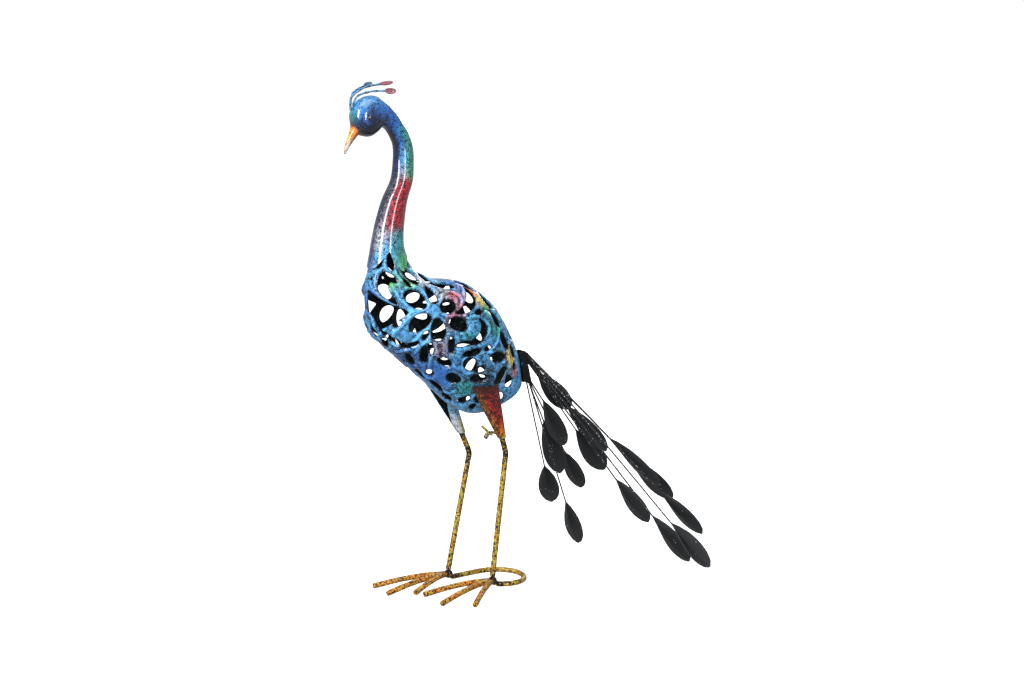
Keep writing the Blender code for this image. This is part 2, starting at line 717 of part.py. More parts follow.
def leg(name, side):
    """The leg rod from inside the thigh's sleeve over the bend down to the foot."""
    ankle, bend, weld = (grown(p[side]) for p in (ANKLES, BENDS, WELDS))
    lean = (ankle - bend).normalized()
    foot = weld + Vector((0, 0, WELD_RADIUS + GAP))
    down = (bend - foot).normalized()
    into = (thigh_top(side) - ankle).normalized()
    route = [foot, bend - down * 12, bend - down * 3, bend + lean * 7, ankle - lean * 1.5,
             ankle + into * 2, ankle + into * LEG_INTO_THIGH]
    return rod(name, route, ROD_RADIUS, 10, "gold")


def boolean(target, tool, operation):
    """Applies a Boolean of two closed meshes and removes the tool."""
    step = target.modifiers.new("cut", "BOOLEAN")
    step.object = tool
    step.operation = operation
    step.solver = "EXACT"
    graph = bpy.context.evaluated_depsgraph_get()
    made = bpy.data.meshes.new_from_object(target.evaluated_get(graph))
    target.modifiers.clear()
    target.data = made
    bpy.data.objects.remove(tool)


def box(name, low, high):
    """A plain block between two corners, in millimetres."""
    xs, ys, zs = zip(low, high)
    points = [(x, y, z) for x in xs for y in ys for z in zs]
    faces = [(0, 1, 3, 2), (4, 6, 7, 5), (0, 4, 5, 1), (2, 3, 7, 6), (0, 2, 6, 4), (1, 5, 7, 3)]
    return solid(name, points, faces, "gold", smooth=False)


def foot(name, side):
    """Three toe rods welded together under the leg and ground flat where they stand."""
    weld = np.array(grown(WELDS[side]))
    thing = None
    for n, tip in enumerate(TOE_TIPS[side]):
        end = np.array((tip[0] * GROWTH, tip[1] * GROWTH, ROD_RADIUS - SOLE_GROUND_OFF))
        route = [weld + (0, 0, 0.2 * n)]
        for share, height in ((0.3, 11.5), (0.6, 9.6), (0.85, 6.2)):
            spot = weld + (end - weld) * share
            spot[2] = height * GROWTH
            route.append(spot)
        route.append(end)
        toe = rod(f"toe_{n}", route, ROD_RADIUS * (1 - 0.004 * n), 8, "gold")
        if thing is None:
            thing = toe
        else:
            boolean(thing, toe, "UNION")
    rings = []
    for height in (-0.92, -0.55, 0.0, 0.55, 0.92):
        wide = math.sqrt(1 - height * height) * WELD_RADIUS
        rings.append([weld + (wide * math.cos(a), wide * math.sin(a), height * WELD_RADIUS)
                      for a in np.arange(10) * math.pi / 5 + 0.13])
    boolean(thing, ring_tube("bead", rings, "gold"), "UNION")
    boolean(thing, box("ground", (-HEIGHT, -HEIGHT, -HEIGHT), (HEIGHT, HEIGHT, 0)), "DIFFERENCE")
    thing.name = name
    thing.data.name = name
    return thing


def base_loop():
    """The rod that runs round behind the feet and keeps the bird from tipping back."""
    route = smooth_route(grown(LOOP_ROUTE), 2)
    height = ROD_RADIUS * math.cos(math.pi / 8)
    return rod("base_loop", [(x, y, height) for x, y in route], height, 8, "gold", flat_down=True)


def wing_screw(name, side):
    """The wing screw that holds the leg in its sleeve."""
    ankle = grown(ANKLES[side])
    out = Vector(SCREW_WAYS[side]).normalized()
    into = (thigh_top(side) - ankle).normalized()
    start = ankle + into * SCREW_HEIGHT + out * SCREW_STANDS_OFF
    shank = rod(name, [start, start + out * 5, start + out * 5.3, start + out * 10], [1.6, 1.6, 3.2, 3.0],
                8, "gold")
    hub = start + out * 7.5
    for n, (reach, lift) in enumerate(((0.62, 0.78), (0.45, -0.89))):
        way = (out * reach + Vector((0, 0, lift))).normalized()
        ear = rod(f"ear_{n}", [hub + way * 1.0, hub + way * 10.5, hub + way * 13.5], [1.7, 2.6, 1.5],
                  6, "gold")
        boolean(shank, ear, "UNION")
    shank.name = name
    return shank


def bracket_frame():
    """The bracket's top, its downward way and its outward way."""
    top = grown((BRACKET_TOP[0], 0, BRACKET_TOP[1]))
    bottom = grown((BRACKET_BOTTOM[0], 0, BRACKET_BOTTOM[1]))
    down = (bottom - top).normalized()
    out = Vector((-down.z, 0, down.x))
    return top, bottom, down, out


def tail_bracket():
    """A channel on the rump's back seam that carries the tail wires."""
    top, bottom, down, out = bracket_frame()
    half = BRACKET_WIDTH / 2
    length = (bottom - top).length
    rows = []
    for share in np.linspace(0, 1, 6):
        spot = top + down * length * share
        rows.append(spot)
    places = np.linspace(28, LAST, 120)
    seam = skin(places, 0 * places)
    rings = []
    for spot in rows:
        off = [(Vector(p) - spot) for p in seam]
        reach = [(-o.dot(out)) for o in off if abs(o.dot(down)) < 1.5]
        depth = (sum(reach) / len(reach) if reach else 6.0) - 2.2
        depth = max(depth, BRACKET_WEB + 1.5)
        side = Vector((0, 1, 0))
        back = -out
        flange = BRACKET_WEB
        outline = [(-half, 0), (half, 0), (half, depth), (half - flange, depth),
                   (half - flange, BRACKET_WEB), (-half + flange, BRACKET_WEB), (-half + flange, depth),
                   (-half, depth)]
        rings.append([spot + side * a + back * b for a, b in outline])
    points = [tuple(p) for ring in rings for p in ring]
    faces = []
    for r in range(len(rings) - 1):
        for i in range(8):
            j = (i + 1) % 8
            faces.append((r * 8 + i, r * 8 + j, r * 8 + 8 + j, r * 8 + 8 + i))
    for r in (0, len(rings) - 1):
        b = r * 8
        faces += [(b, b + 1, b + 4, b + 5), (b + 1, b + 2, b + 3, b + 4), (b, b + 5, b + 6, b + 7)]
    return solid("tail_bracket", points, faces, "graphite", smooth=False)


def feather_line(key):
    """A feather's weld, its leaf's base, its way, and the leaf's length and twist."""
    heading, fall, length, leaf, twist = FEATHERS[key]
    across, lower = ROOTS[key]
    top, _, down, out = bracket_frame()
    root = top + down * lower + Vector((0, -across, 0)) + out * (WIRE_RADIUS + GAP + WELD_ROOM)
    turn, fall = math.radians(heading), math.radians(fall)
    way = Vector((math.cos(turn) * math.cos(fall), -math.sin(turn) * math.cos(fall), -math.sin(fall)))
    base = grown(FAN_CENTRE) + way * (length - leaf) * GROWTH
    return root, base, way, leaf * GROWTH, twist


def tail_wire(key):
    """The wire from the bracket to the leaf; a steep one runs down the bracket before it bends off."""
    root, base, way, _, _ = feather_line(key)
    end = base - way * GAP
    sag = Vector((0, 0, 1)) * ((end - root).length * 0.008)
    route = [root, root + (end - root) * 0.5 + sag, end]
    down = bracket_frame()[2]
    lower = ROOTS[key][1]
    if lower > STEEP_FROM:
        route = [root - down * (lower - 6), root - down * 3, root + (end - root).normalized() * 3, end]
    return rod("tail_wire_" + key, route, WIRE_RADIUS, 5, "graphite")


def tail_leaf(key):
    """A leaf of dished sheet: folded at its base and open towards its round end."""
    _, base, way, length, twist = feather_line(key)
    level = way.cross(Vector((0, 0, 1))).normalized()
    face = level.cross(way).normalized()
    spin = Matrix.Rotation(math.radians(twist), 3, way)
    level, face = spin @ level, spin @ face
    stations = ((0.0, 0.06), (0.14, 0.38), (0.36, 0.80), (0.6, 1.0), (0.8, 0.88), (0.94, 0.53), (1.0, 0.16))
    columns = (-1.0, 0.0, 1.0)
    top, under = [], []
    for share, spread in stations:
        fold = math.radians(LEAF_FOLD * (1 - share) ** 1.5 + LEAF_OPEN)
        for c in columns:
            reach = c * spread * LEAF_WIDTH * GROWTH / 2
            rise = abs(reach) * math.tan(fold * 0.62)
            spot = base + way * share * length + level * reach * math.cos(fold * 0.5)
            spot = spot + face * (rise - LEAF_DISH * math.sin(math.pi * share))
            top.append(spot + face * LEAF_SHEET / 2)
            under.append(spot - face * LEAF_SHEET / 2)
    wide = len(columns)
    tall = len(stations)
    count = len(top)
    faces = []
    for r in range(tall - 1):
        for c in range(wide - 1):
            a, b = r * wide + c, r * wide + c + 1
            faces += [(a, b, b + wide, a + wide), (count + a, count + a + wide, count + b + wide, count + b)]
    rim = [(c, c + 1) for c in range(wide - 1)]
    rim += [((r + 1) * wide - 1, (r + 2) * wide - 1) for r in range(tall - 1)]
    rim += [(tall * wide - 1 - c, tall * wide - 2 - c) for c in range(wide - 1)]
    rim += [((tall - 1 - r) * wide, (tall - 2 - r) * wide) for r in range(tall - 1)]
    faces += [(a, count + a, count + b, b) for a, b in rim]
    return solid("tail_leaf_" + key, top + under, faces, "graphite")


def split_faces(thing):
    """Splits every face of a piece into triangles."""
    tidy = bmesh.new()
    tidy.from_mesh(thing.data)
    bmesh.ops.triangulate(tidy, faces=tidy.faces)
    tidy.to_mesh(thing.data)
    tidy.free()


def stand_on_origin(things):
    """Parents everything to one empty and moves it so that the whole stands over the origin."""
    corners = np.array([vertex.co for thing in things for vertex in thing.data.vertices])
    low, high = Vector(corners.min(0)), Vector(corners.max(0))
    holder = bpy.data.objects.new("peacock", None)
    bpy.context.scene.collection.objects.link(holder)
    holder.location = (-(low.x + high.x) / 2, -(low.y + high.y) / 2, -low.z)
    for thing in things:
        thing.parent = holder
    print("moved by", tuple(round(c, 5) for c in holder.location), "size", tuple(high - low))


def build():
    """Makes every piece of the bird."""
    clear_scene()
    blank = Blank()
    flat, faces = pierced_sheet(blank)
    print("sheet faces", len(faces), "length", blank.along[-1])
    places = np.linspace(BODY_FROM, LAST, 90)
    angles = np.linspace(0, math.pi, 60)
    table = skin(places[:, None] + 0 * angles[None, :], angles[None, :] + 0 * places[:, None]).reshape(-1, 3)
    things = [
        body_half("body_left_half", -1, flat, faces, blank),
        body_half("body_right_half", 1, flat, faces, blank),
        neck_and_head(),
        eye("eye_left", 1),
        eye("eye_right", -1),
    ]
    for side, route in CREST.items():
        things.append(crest_feather("crest_feather_" + side, route, CREST_PADDLES[side]))
    for side in ("left", "right"):
        things.append(thigh("thigh_" + side, side, table))
        things.append(leg("leg_" + side, side))
        things.append(foot("foot_" + side, side))
        things.append(wing_screw("wing_screw_" + side, side))
    things.append(base_loop())
    things.append(tail_bracket())
    for key in FEATHERS:
        things.append(tail_wire(key))
        things.append(tail_leaf(key))
    for thing in things:
        split_faces(thing)
    print("triangles", sum(len(thing.data.polygons) for thing in things))
    stand_on_origin(things)


build()
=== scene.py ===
"""Looks of the striding garden peacock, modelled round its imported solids.

The bird faces -X with its left side towards -Y. Shapes are worked out in millimetres in the bird's own frame,
the one that the solids were drawn in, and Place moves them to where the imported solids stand.
"""

import logging
import math
from collections.abc import Callable, Sequence
from dataclasses import dataclass, field
from enum import Enum

import bpy
import numpy as np
from mathutils import Matrix, Vector


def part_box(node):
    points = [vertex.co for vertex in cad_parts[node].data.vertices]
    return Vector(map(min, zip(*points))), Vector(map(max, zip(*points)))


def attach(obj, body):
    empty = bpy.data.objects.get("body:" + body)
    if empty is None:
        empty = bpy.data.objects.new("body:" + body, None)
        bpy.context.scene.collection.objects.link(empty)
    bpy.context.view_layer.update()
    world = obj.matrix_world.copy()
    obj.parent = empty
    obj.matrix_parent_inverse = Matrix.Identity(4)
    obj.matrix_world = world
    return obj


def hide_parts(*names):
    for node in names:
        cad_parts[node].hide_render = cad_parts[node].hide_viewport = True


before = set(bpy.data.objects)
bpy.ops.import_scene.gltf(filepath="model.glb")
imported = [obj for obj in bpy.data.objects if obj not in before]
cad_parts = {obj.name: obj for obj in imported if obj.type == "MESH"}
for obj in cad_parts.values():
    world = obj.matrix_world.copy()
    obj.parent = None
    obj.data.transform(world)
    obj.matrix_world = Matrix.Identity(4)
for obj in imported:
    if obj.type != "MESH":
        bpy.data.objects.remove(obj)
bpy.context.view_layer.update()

LOG = logging.getLogger("peacock")
MM = 0.001
PAINT = "paint"
PAINT_SHARE = 1.0

# Sheet, rod and wire
SHEET = 1.2
GAP = 0.4
ROD_RADIUS = 4.2
WIRE_RADIUS = 0.9
LEAF_SHEET = 1.0
SEAM_GAP = 0.5
SMOOTH_UNDER = math.radians(42)

# Bracket that carries the tail: its outer edge in the bird's frame
BRACKET_TOP = (86.0, 338.0)
BRACKET_BOTTOM = (97.0, 289.0)

# Bird's profile from beak to rump: back edge x, z, throat or belly edge x, z, half width
PROFILE = [
    (-195, 629, -194, 628, 1),
    (-194, 639, -188, 638, 3),
    (-189, 653, -179, 650, 5.5),
    (-184, 666, -173, 656, 8.5),
    (-183, 676, -171, 655, 13),
    (-183, 687, -167, 654, 17),
    (-177, 699, -161, 653, 20),
    (-164, 707, -154, 654, 21),
    (-148, 708, -146, 659, 20),
    (-131, 699, -140, 665, 17.5),
    (-117, 685, -133, 663, 15.5),
    (-107, 671, -128, 657, 15),
    (-98, 657, -124, 650, 14.8),
    (-92, 637, -120, 639, 14.8),
    (-91, 617, -120, 619, 15.2),
    (-93, 592, -124, 593, 17),
    (-102, 565, -137, 567, 19),
    (-107, 536, -147, 538, 21),
    (-109, 511, -153, 513, 23.5),
    (-106, 494, -157, 492, 26),
    (-98, 479, -161, 472, 31),
    (-84, 464, -165, 451, 39),
    (-63, 454, -166, 424, 48),
    (-38, 451, -160, 387, 55),
    (-11, 444, -138, 362, 59),
    (17, 425, -112, 340, 60),
    (39, 403, -86, 317, 58),
    (53, 379, -59, 291, 54),
    (65, 356, -34, 269, 48),
    (74, 333, -6, 255, 40),
    (78, 312, 21, 255, 31),
    (81, 296, 46, 264, 22),
]
LAST = len(PROFILE) - 1
BODY_FROM = 18.2
NECK_TUBE_TO = 18.2
# The neck's lower rim: angle round from the back, place along the profile
NECK_RIM = [(0, 19.1), (23, 19.15), (46, 19.5), (66, 20.0), (82, 20.35), (96, 19.75), (109, 18.7),
            (130, 19.25), (155, 19.85), (180, 19.95)]
FLAT_ZERO_AT = 19.0
COLLAR_INSET = 2.3
COLLAR_BLEND = (28.0, 44.0)

Points = np.ndarray


class Side(Enum):
    """The bird's sides, as the sign of Y."""

    LEFT = -1
    RIGHT = 1


class Colour(Enum):
    """Paints of the bird, as display values of 0 to 255."""

    SKY = (88, 170, 228)
    COBALT = (44, 110, 196)
    NAVY = (18, 34, 92)
    TEAL = (52, 158, 160)
    GREEN = (92, 178, 92)
    DEEP_GREEN = (26, 112, 92)
    JADE = (70, 158, 118)
    OLIVE = (168, 156, 60)
    YELLOW = (232, 200, 60)
    ORANGE = (230, 128, 34)
    PINK = (206, 108, 122)
    MAUVE = (158, 146, 168)
    PALE = (184, 190, 198)
    RED = (186, 34, 42)
    DARK_RED = (96, 22, 28)
    SCARLET = (212, 56, 20)
    GREY = (96, 96, 112)
    SLATE = (44, 52, 66)
    BLACK = (10, 12, 16)
    OCHRE = (190, 134, 38)
    BROWN = (128, 68, 26)
    LIME = (196, 198, 96)
    ICE = (120, 186, 222)
    STEEL = (84, 138, 178)

    @property
    def linear(self) -> Points:
        """The paint in linear light."""
        share = np.array(self.value) / 255
        return np.where(share <= 0.04045, share / 12.92, ((share + 0.055) / 1.055) ** 2.4) * PAINT_SHARE


@dataclass(frozen=True)
class Zone:
    """A patch of sponged paint round a point of the bird, the same on both sides.

    Attributes:
        spot: Its middle in the bird's frame, with Y taken as a distance from the middle plane.
        radius: Its reach in millimetres.
        colour: The paint.
        speckle: How much dark speckle lies over it, from 0 to 1.
    """

    spot: tuple[float, float, float]
    radius: float
    colour: Colour
    speckle: float = 0.5


class Place:
    """Turns the bird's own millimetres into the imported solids' metres."""

    def __init__(self) -> None:
        """Reads where the tail bracket stands, which both frames share."""
        low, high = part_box("tail_bracket")
        self.shift = np.array([high[0] - BRACKET_BOTTOM[0] * MM, (low[1] + high[1]) / 2, 0.0])

    def metres(self, points: Points) -> Points:
        """Millimetres of the bird to metres of the scene."""
        return np.asarray(points, float) * MM + self.shift

    def millimetres(self, points: Points) -> Points:
        """Metres of the scene to millimetres of the bird."""
        return (points - self.shift) / MM


PLACE = Place()


def deselect() -> None:
    """Deselects every object."""
    bpy.ops.object.select_all(action="DESELECT")


def choose(thing: bpy.types.Object) -> None:
    """Makes one object the selected and active one."""
    deselect()
    thing.select_set(True)
    bpy.context.view_layer.objects.active = thing


def vertices_of(thing: bpy.types.Object) -> Points:
    """A mesh's points as an array."""
    flat = np.empty(len(thing.data.vertices) * 3)
    thing.data.vertices.foreach_get("co", flat)
    return flat.reshape(-1, 3)


def set_vertices(thing: bpy.types.Object, points: Points) -> None:
    """Writes a mesh's points from an array."""
    thing.data.vertices.foreach_set("co", np.asarray(points, float).ravel())
    thing.data.update()


def apply_modifier(thing: bpy.types.Object, kind: str, **settings: object) -> None:
    """Adds a modifier with its settings and applies it.

    Args:
        thing: The object.
        kind: The modifier's type.
        **settings: The modifier's properties.
    """
    choose(thing)
    step = thing.modifiers.new(kind.lower(), kind)
    for name, value in settings.items():
        setattr(step, name, value)
    bpy.ops.object.modifier_apply(modifier=step.name)


def edit_all(thing: bpy.types.Object, *steps: Callable[[], object]) -> None:
    """Runs edit-mode operators on everything in a mesh.

    Args:
        thing: The object.
        *steps: Calls that each run one operator.
    """
    choose(thing)
    bpy.ops.object.mode_set(mode="EDIT")
    bpy.ops.mesh.select_all(action="SELECT")
    for step in steps:
        step()
    bpy.ops.object.mode_set(mode="OBJECT")


def merge_doubles(thing: bpy.types.Object) -> None:
    """Merges doubled points and turns the faces outwards."""
    edit_all(thing, lambda: bpy.ops.mesh.remove_doubles(threshold=0.02 * MM),
             lambda: bpy.ops.mesh.normals_make_consistent(inside=False))


def face_outwards(thing: bpy.types.Object, side: Side) -> None:
    """Turns a sheet's faces away from the bird's middle plane.

    Args:
        thing: The object.
        side: The side that it lies on.
    """
    across = sum(face.normal.y for face in thing.data.polygons)
    if across * side.value < 0:
        edit_all(thing, bpy.ops.mesh.flip_normals)


def delete_faces(thing: bpy.types.Object, doomed: Points) -> None:
    """Deletes the faces that a mask names, with their loose points.

    Args:
        thing: The object.
        doomed: One truth value a face.
    """
    choose(thing)
    bpy.ops.object.mode_set(mode="EDIT")
    bpy.ops.mesh.select_all(action="DESELECT")
    bpy.ops.mesh.select_mode(type="FACE")
    bpy.ops.object.mode_set(mode="OBJECT")
    thing.data.polygons.foreach_set("select", doomed)
    bpy.ops.object.mode_set(mode="EDIT")
    bpy.ops.mesh.delete(type="FACE")
    bpy.ops.mesh.select_mode(type="VERT")
    bpy.ops.object.mode_set(mode="OBJECT")


def shaped_grid(name: str, rows: int, columns: int, shape: Callable[[Points, Points], Points]) -> bpy.types.Object:
    """Adds a grid and bends it to a shape.

    Args:
        name: The object's name.
        rows: Faces along s.
        columns: Faces along t.
        shape: Gives millimetres from arrays of s and t, each from 0 to 1.

    Returns:
        The object, with its place in its mesh.
    """
    deselect()
    bpy.ops.mesh.primitive_grid_add(x_subdivisions=rows, y_subdivisions=columns, size=2)
    thing = bpy.context.object
    thing.name = thing.data.name = name
    flat = (vertices_of(thing) + 1) / 2
    set_vertices(thing, PLACE.metres(shape(flat[:, 0], flat[:, 1])))
    return thing


def catmull(p0: Points, p1: Points, p2: Points, p3: Points, t: Points) -> Points:
    """Catmull-Rom value between p1 and p2."""
    return 0.5 * (2 * p1 + (p2 - p0) * t + (2 * p0 - 5 * p1 + 4 * p2 - p3) * t * t
                  + (3 * p1 - p0 - 3 * p2 + p3) * t * t * t)


def along_table(table: Points, place: Points) -> Points:
    """A smooth value at a fractional row of a table."""
    last = len(table) - 1
    place = np.clip(np.asarray(place, float), 0, last - 1e-9)
    row = np.floor(place).astype(int)
    t = (place - row).reshape(place.shape + (1,) * (table.ndim - 1))
    return catmull(table[np.maximum(row - 1, 0)], table[row], table[row + 1],
                   table[np.minimum(row + 2, last)], t)


def smooth_route(route: Sequence[Sequence[float]], steps: int) -> Points:
    """Points on a smooth curve through a route's own points."""
    table = np.array([tuple(p) for p in route], float)
    return along_table(table, np.linspace(0, len(table) - 1, (len(table) - 1) * steps + 1))


def rod(name: str, route: Points, radii: float | Sequence[float], resolution: int = 3) -> bpy.types.Object:
    """Models a rod or wire as a bevelled curve and makes it a mesh.

    Args:
        name: The object's name.
        route: Points in millimetres.
        radii: One radius, or one for each point.
        resolution: The curve's bevel resolution.

    Returns:
        The mesh object.
    """
    route = np.asarray([tuple(p) for p in route], float)
    sizes = np.broadcast_to(np.asarray(radii, float), (len(route),))
    deselect()
    bpy.ops.curve.primitive_bezier_curve_add(radius=1)
    thing = bpy.context.object
    curve = thing.data
    curve.splines.clear()
    spline = curve.splines.new("POLY")
    spline.points.add(len(route) - 1)
    spots = np.concatenate([PLACE.metres(route), np.ones((len(route), 1))], 1)
    spline.points.foreach_set("co", spots.ravel())
    spline.points.foreach_set("radius", sizes)
    curve.dimensions = "3D"
    curve.bevel_depth = MM
    curve.bevel_resolution = resolution
    curve.use_fill_caps = True
    bpy.ops.object.convert(target="MESH")
    thing = bpy.context.object
    thing.name = thing.data.name = name
    merge_doubles(thing)
    return thing


def joined(name: str, parts: Sequence[bpy.types.Object]) -> bpy.types.Object:
    """Joins several meshes into one object."""
    choose(parts[0])
    for part in parts:
        part.select_set(True)
    bpy.ops.object.join()
    thing = bpy.context.object
    thing.name = thing.data.name = name
    return thing


def write_paint(thing: bpy.types.Object, colour: Points, speckle: Points) -> None:
    """Stores a colour and an amount of speckle on each point.

    Args:
        thing: The object.
        colour: Linear colours, one row a point.
        speckle: Amounts from 0 to 1.
    """
    layer = thing.data.color_attributes.new(name=PAINT, type="FLOAT_COLOR", domain="POINT")
    layer.data.foreach_set("color", np.concatenate([colour, speckle[:, None]], 1).astype(np.float32).ravel())


def zoned(points: Points, base: Colour, speckle: float, zones: Sequence[Zone]) -> tuple[Points, Points]:
    """Lays zones of paint over a base.

    Args:
        points: Places in the bird's frame.
        base: The paint beneath.
        speckle: The base's speckle.
        zones: The patches, each over the ones before.

    Returns:
        Linear colours and amounts of speckle.
    """
    where = np.abs(points * (0, 1, 0)) + points * (1, 0, 1)
    colour = np.tile(base.linear, (len(points), 1))
    dark = np.full(len(points), speckle)
    for zone in zones:
        far = np.linalg.norm(where - np.array(zone.spot), axis=1) / zone.radius
        cover = np.clip(1.35 - far * 1.35, 0, 1)
        cover = cover * cover * (3 - 2 * cover)
        colour += (zone.colour.linear - colour) * cover[:, None]
        dark += (zone.speckle - dark) * cover
    return colour, dark


class Tree:
    """A material's nodes, added one call each."""

    def __init__(self, name: str) -> None:
        """Makes an empty material with its output and shader."""
        self.material = bpy.data.materials.new(name)
        self.material.use_nodes = True
        self.tree = self.material.node_tree
        self.shader = self.tree.nodes["Principled BSDF"]

    def add(self, kind: str, inputs: dict[int | str, object] | None = None, **settings: object) -> bpy.types.Node:
        """Adds a node.

        Args:
            kind: The node's type.
            inputs: Values or output sockets by input name or number.
            **settings: The node's properties.

        Returns:
            The node.
        """
        node = self.tree.nodes.new(kind)
        for name, value in settings.items():
            setattr(node, name, value)
        for key, value in (inputs or {}).items():
            if isinstance(value, bpy.types.NodeSocket):
                self.tree.links.new(value, node.inputs[key])
            else:
                node.inputs[key].default_value = value
        return node

    def noise(self, scale: float, detail: float = 3.0, rough: float = 0.6) -> bpy.types.NodeSocket:
        """Noise on the object's own coordinates."""
        where = self.add("ShaderNodeTexCoord").outputs["Object"]
        return self.add("ShaderNodeTexNoise", {"Vector": where, "Scale": scale, "Detail": detail,
                                               "Roughness": rough}).outputs["Fac"]

    def ramp(self, value: bpy.types.NodeSocket, low: float, high: float, top: float = 1.0) -> bpy.types.NodeSocket:
        """A smooth step of a value from low to high, up to top."""
        return self.add("ShaderNodeMapRange", {"Value": value, "From Min": low, "From Max": high, "To Max": top},
                        interpolation_type="SMOOTHSTEP").outputs["Result"]

    def times(self, a: bpy.types.NodeSocket, b: bpy.types.NodeSocket | float) -> bpy.types.NodeSocket:
        """One value times another."""
        return self.add("ShaderNodeMath", {0: a, 1: b}, operation="MULTIPLY").outputs[0]

    def mix(self, share: bpy.types.NodeSocket, a: object, b: object, blend: str = "MIX") -> bpy.types.NodeSocket:
        """Two colours mixed by a share."""
        node = self.add("ShaderNodeMix", {0: share}, data_type="RGBA", blend_type=blend)
        for key, value in ((6, a), (7, b)):
            if isinstance(value, bpy.types.NodeSocket):
                self.tree.links.new(value, node.inputs[key])
            else:
                node.inputs[key].default_value = (*value, 1.0)
        return node.outputs[2]

    def bump(self, height: bpy.types.NodeSocket, distance: float, strength: float = 1.0) -> None:
        """Roughens the surface by a height."""
        node = self.add("ShaderNodeBump", {"Height": height, "Distance": distance, "Strength": strength})
        self.tree.links.new(node.outputs[0], self.shader.inputs["Normal"])

    def colour(self, value: bpy.types.NodeSocket) -> None:
        """Sends a colour to the shader."""
        self.tree.links.new(value, self.shader.inputs["Base Color"])

    def gloss(self, roughness: float, coat: float, coat_roughness: float, specular: float) -> None:
        """Sets the shader's constant values.

        Args:
            roughness: The paint's roughness.
            coat: The weight of the clear coat.
            coat_roughness: The clear coat's roughness.
            specular: The strength of the paint's own reflection.
        """
        values = {"Roughness": roughness, "Coat Weight": coat, "Coat Roughness": coat_roughness,
                  "Specular IOR Level": specular}
        for name, value in values.items():
            self.shader.inputs[name].default_value = value


@dataclass(frozen=True)
class SpongedEnamel:
    """Enamel sponged over black, taken from the piece's own paint, under a clear coat.

    Attributes:
        name: The material's name.
        speckle_scale: The speckle's fineness.
        dark: The colour of the speckle.
        fleck: How strongly light flecks show.
        bump: The depth of the sponge marks in metres.
        roughness: The paint's roughness.
        coat: The weight of the clear coat.
    """

    name: str
    speckle_scale: float = 640.0
    dark: tuple[float, float, float] = (0.004, 0.008, 0.02)
    fleck: float = 0.3
    bump: float = 0.0004
    roughness: float = 0.32
    coat: float = 0.45

    def make(self) -> bpy.types.Material:
        """Builds the material."""
        tree = Tree(self.name)
        paint = tree.add("ShaderNodeAttribute", attribute_name=PAINT)
        fine = tree.noise(self.speckle_scale, 2.0, 0.55)
        coarse = tree.noise(self.speckle_scale * 0.3, 3.0, 0.6)
        both = tree.add("ShaderNodeMath", {0: coarse, 1: 0.6, 2: fine}, operation="MULTIPLY_ADD").outputs[0]
        floor = tree.add("ShaderNodeMath", {0: paint.outputs["Alpha"], 1: -0.3, 2: 0.985},
                         operation="MULTIPLY_ADD").outputs[0]
        over = tree.add("ShaderNodeMath", {0: both, 1: floor}, operation="SUBTRACT").outputs[0]
        spots = tree.ramp(over, -0.06, 0.06)
        light = tree.ramp(tree.noise(self.speckle_scale * 1.3, 1.0), 0.60, 0.70, self.fleck)
        shade = tree.ramp(coarse, 0.35, 0.68, 0.5)
        toned = tree.mix(shade, paint.outputs["Color"], (0.25, 0.3, 0.42), "MULTIPLY")
        tree.colour(tree.mix(spots, tree.mix(light, toned, (0.42, 0.62, 0.8)), self.dark))
        tree.bump(fine, self.bump)
        tree.gloss(self.roughness, self.coat, 0.06, 0.2)
        return tree.material


@dataclass(frozen=True)
class DarkInside:
    """Near-black paint of the sheet's inner face and its cut edges, with a dust of light flecks.

    Attributes:
        name: The material's name.
        base: The near-black.
        fleck: The colour of the flecks.
        scale: The flecks' fineness.
    """

    name: str
    base: tuple[float, float, float] = (0.006, 0.009, 0.012)
    fleck: tuple[float, float, float] = (0.10, 0.20, 0.22)
    scale: float = 420.0

    def make(self) -> bpy.types.Material:
        """Builds the material."""
        tree = Tree(self.name)
        tree.colour(tree.mix(tree.ramp(tree.noise(self.scale, 2.0), 0.62, 0.72, 0.8), self.base, self.fleck))
        tree.gloss(0.5, 0.0, 0.2, 0.15)
        return tree.material


@dataclass(frozen=True)
class Glitter:
    """Charcoal paint with fine bright flecks.

    Attributes:
        name: The material's name.
        base: The charcoal.
        rim: The paler charcoal at the rim of a leaf.
        flecks: How bright the flecks are.
        cells: How fine the flecks are.
        share: The share of the cells that hold no fleck.
    """

    name: str
    base: tuple[float, float, float] = (0.007, 0.008, 0.009)
    rim: tuple[float, float, float] = (0.034, 0.037, 0.041)
    flecks: float = 0.75
    cells: float = 520.0
    share: float = 0.88

    def make(self) -> bpy.types.Material:
        """Builds the material."""
        tree = Tree(self.name)
        where = tree.add("ShaderNodeTexCoord").outputs["Object"]
        cells = tree.add("ShaderNodeTexVoronoi", {"Vector": where, "Scale": self.cells})
        near = tree.add("ShaderNodeMath", {0: 0.34, 1: cells.outputs["Distance"]}, operation="SUBTRACT").outputs[0]
        dots = tree.ramp(near, 0.0, 0.08)
        some = tree.ramp(cells.outputs["Color"], self.share, self.share + 0.04, self.flecks)
        rim = tree.add("ShaderNodeAttribute", attribute_name=PAINT).outputs["Alpha"]
        base = tree.mix(rim, self.base, self.rim)
        tree.colour(tree.mix(tree.times(dots, some), base, (0.75, 0.78, 0.82)))
        tree.bump(tree.noise(900.0), 0.0002)
        tree.gloss(0.5, 0.1, 0.3, 0.2)
        return tree.material


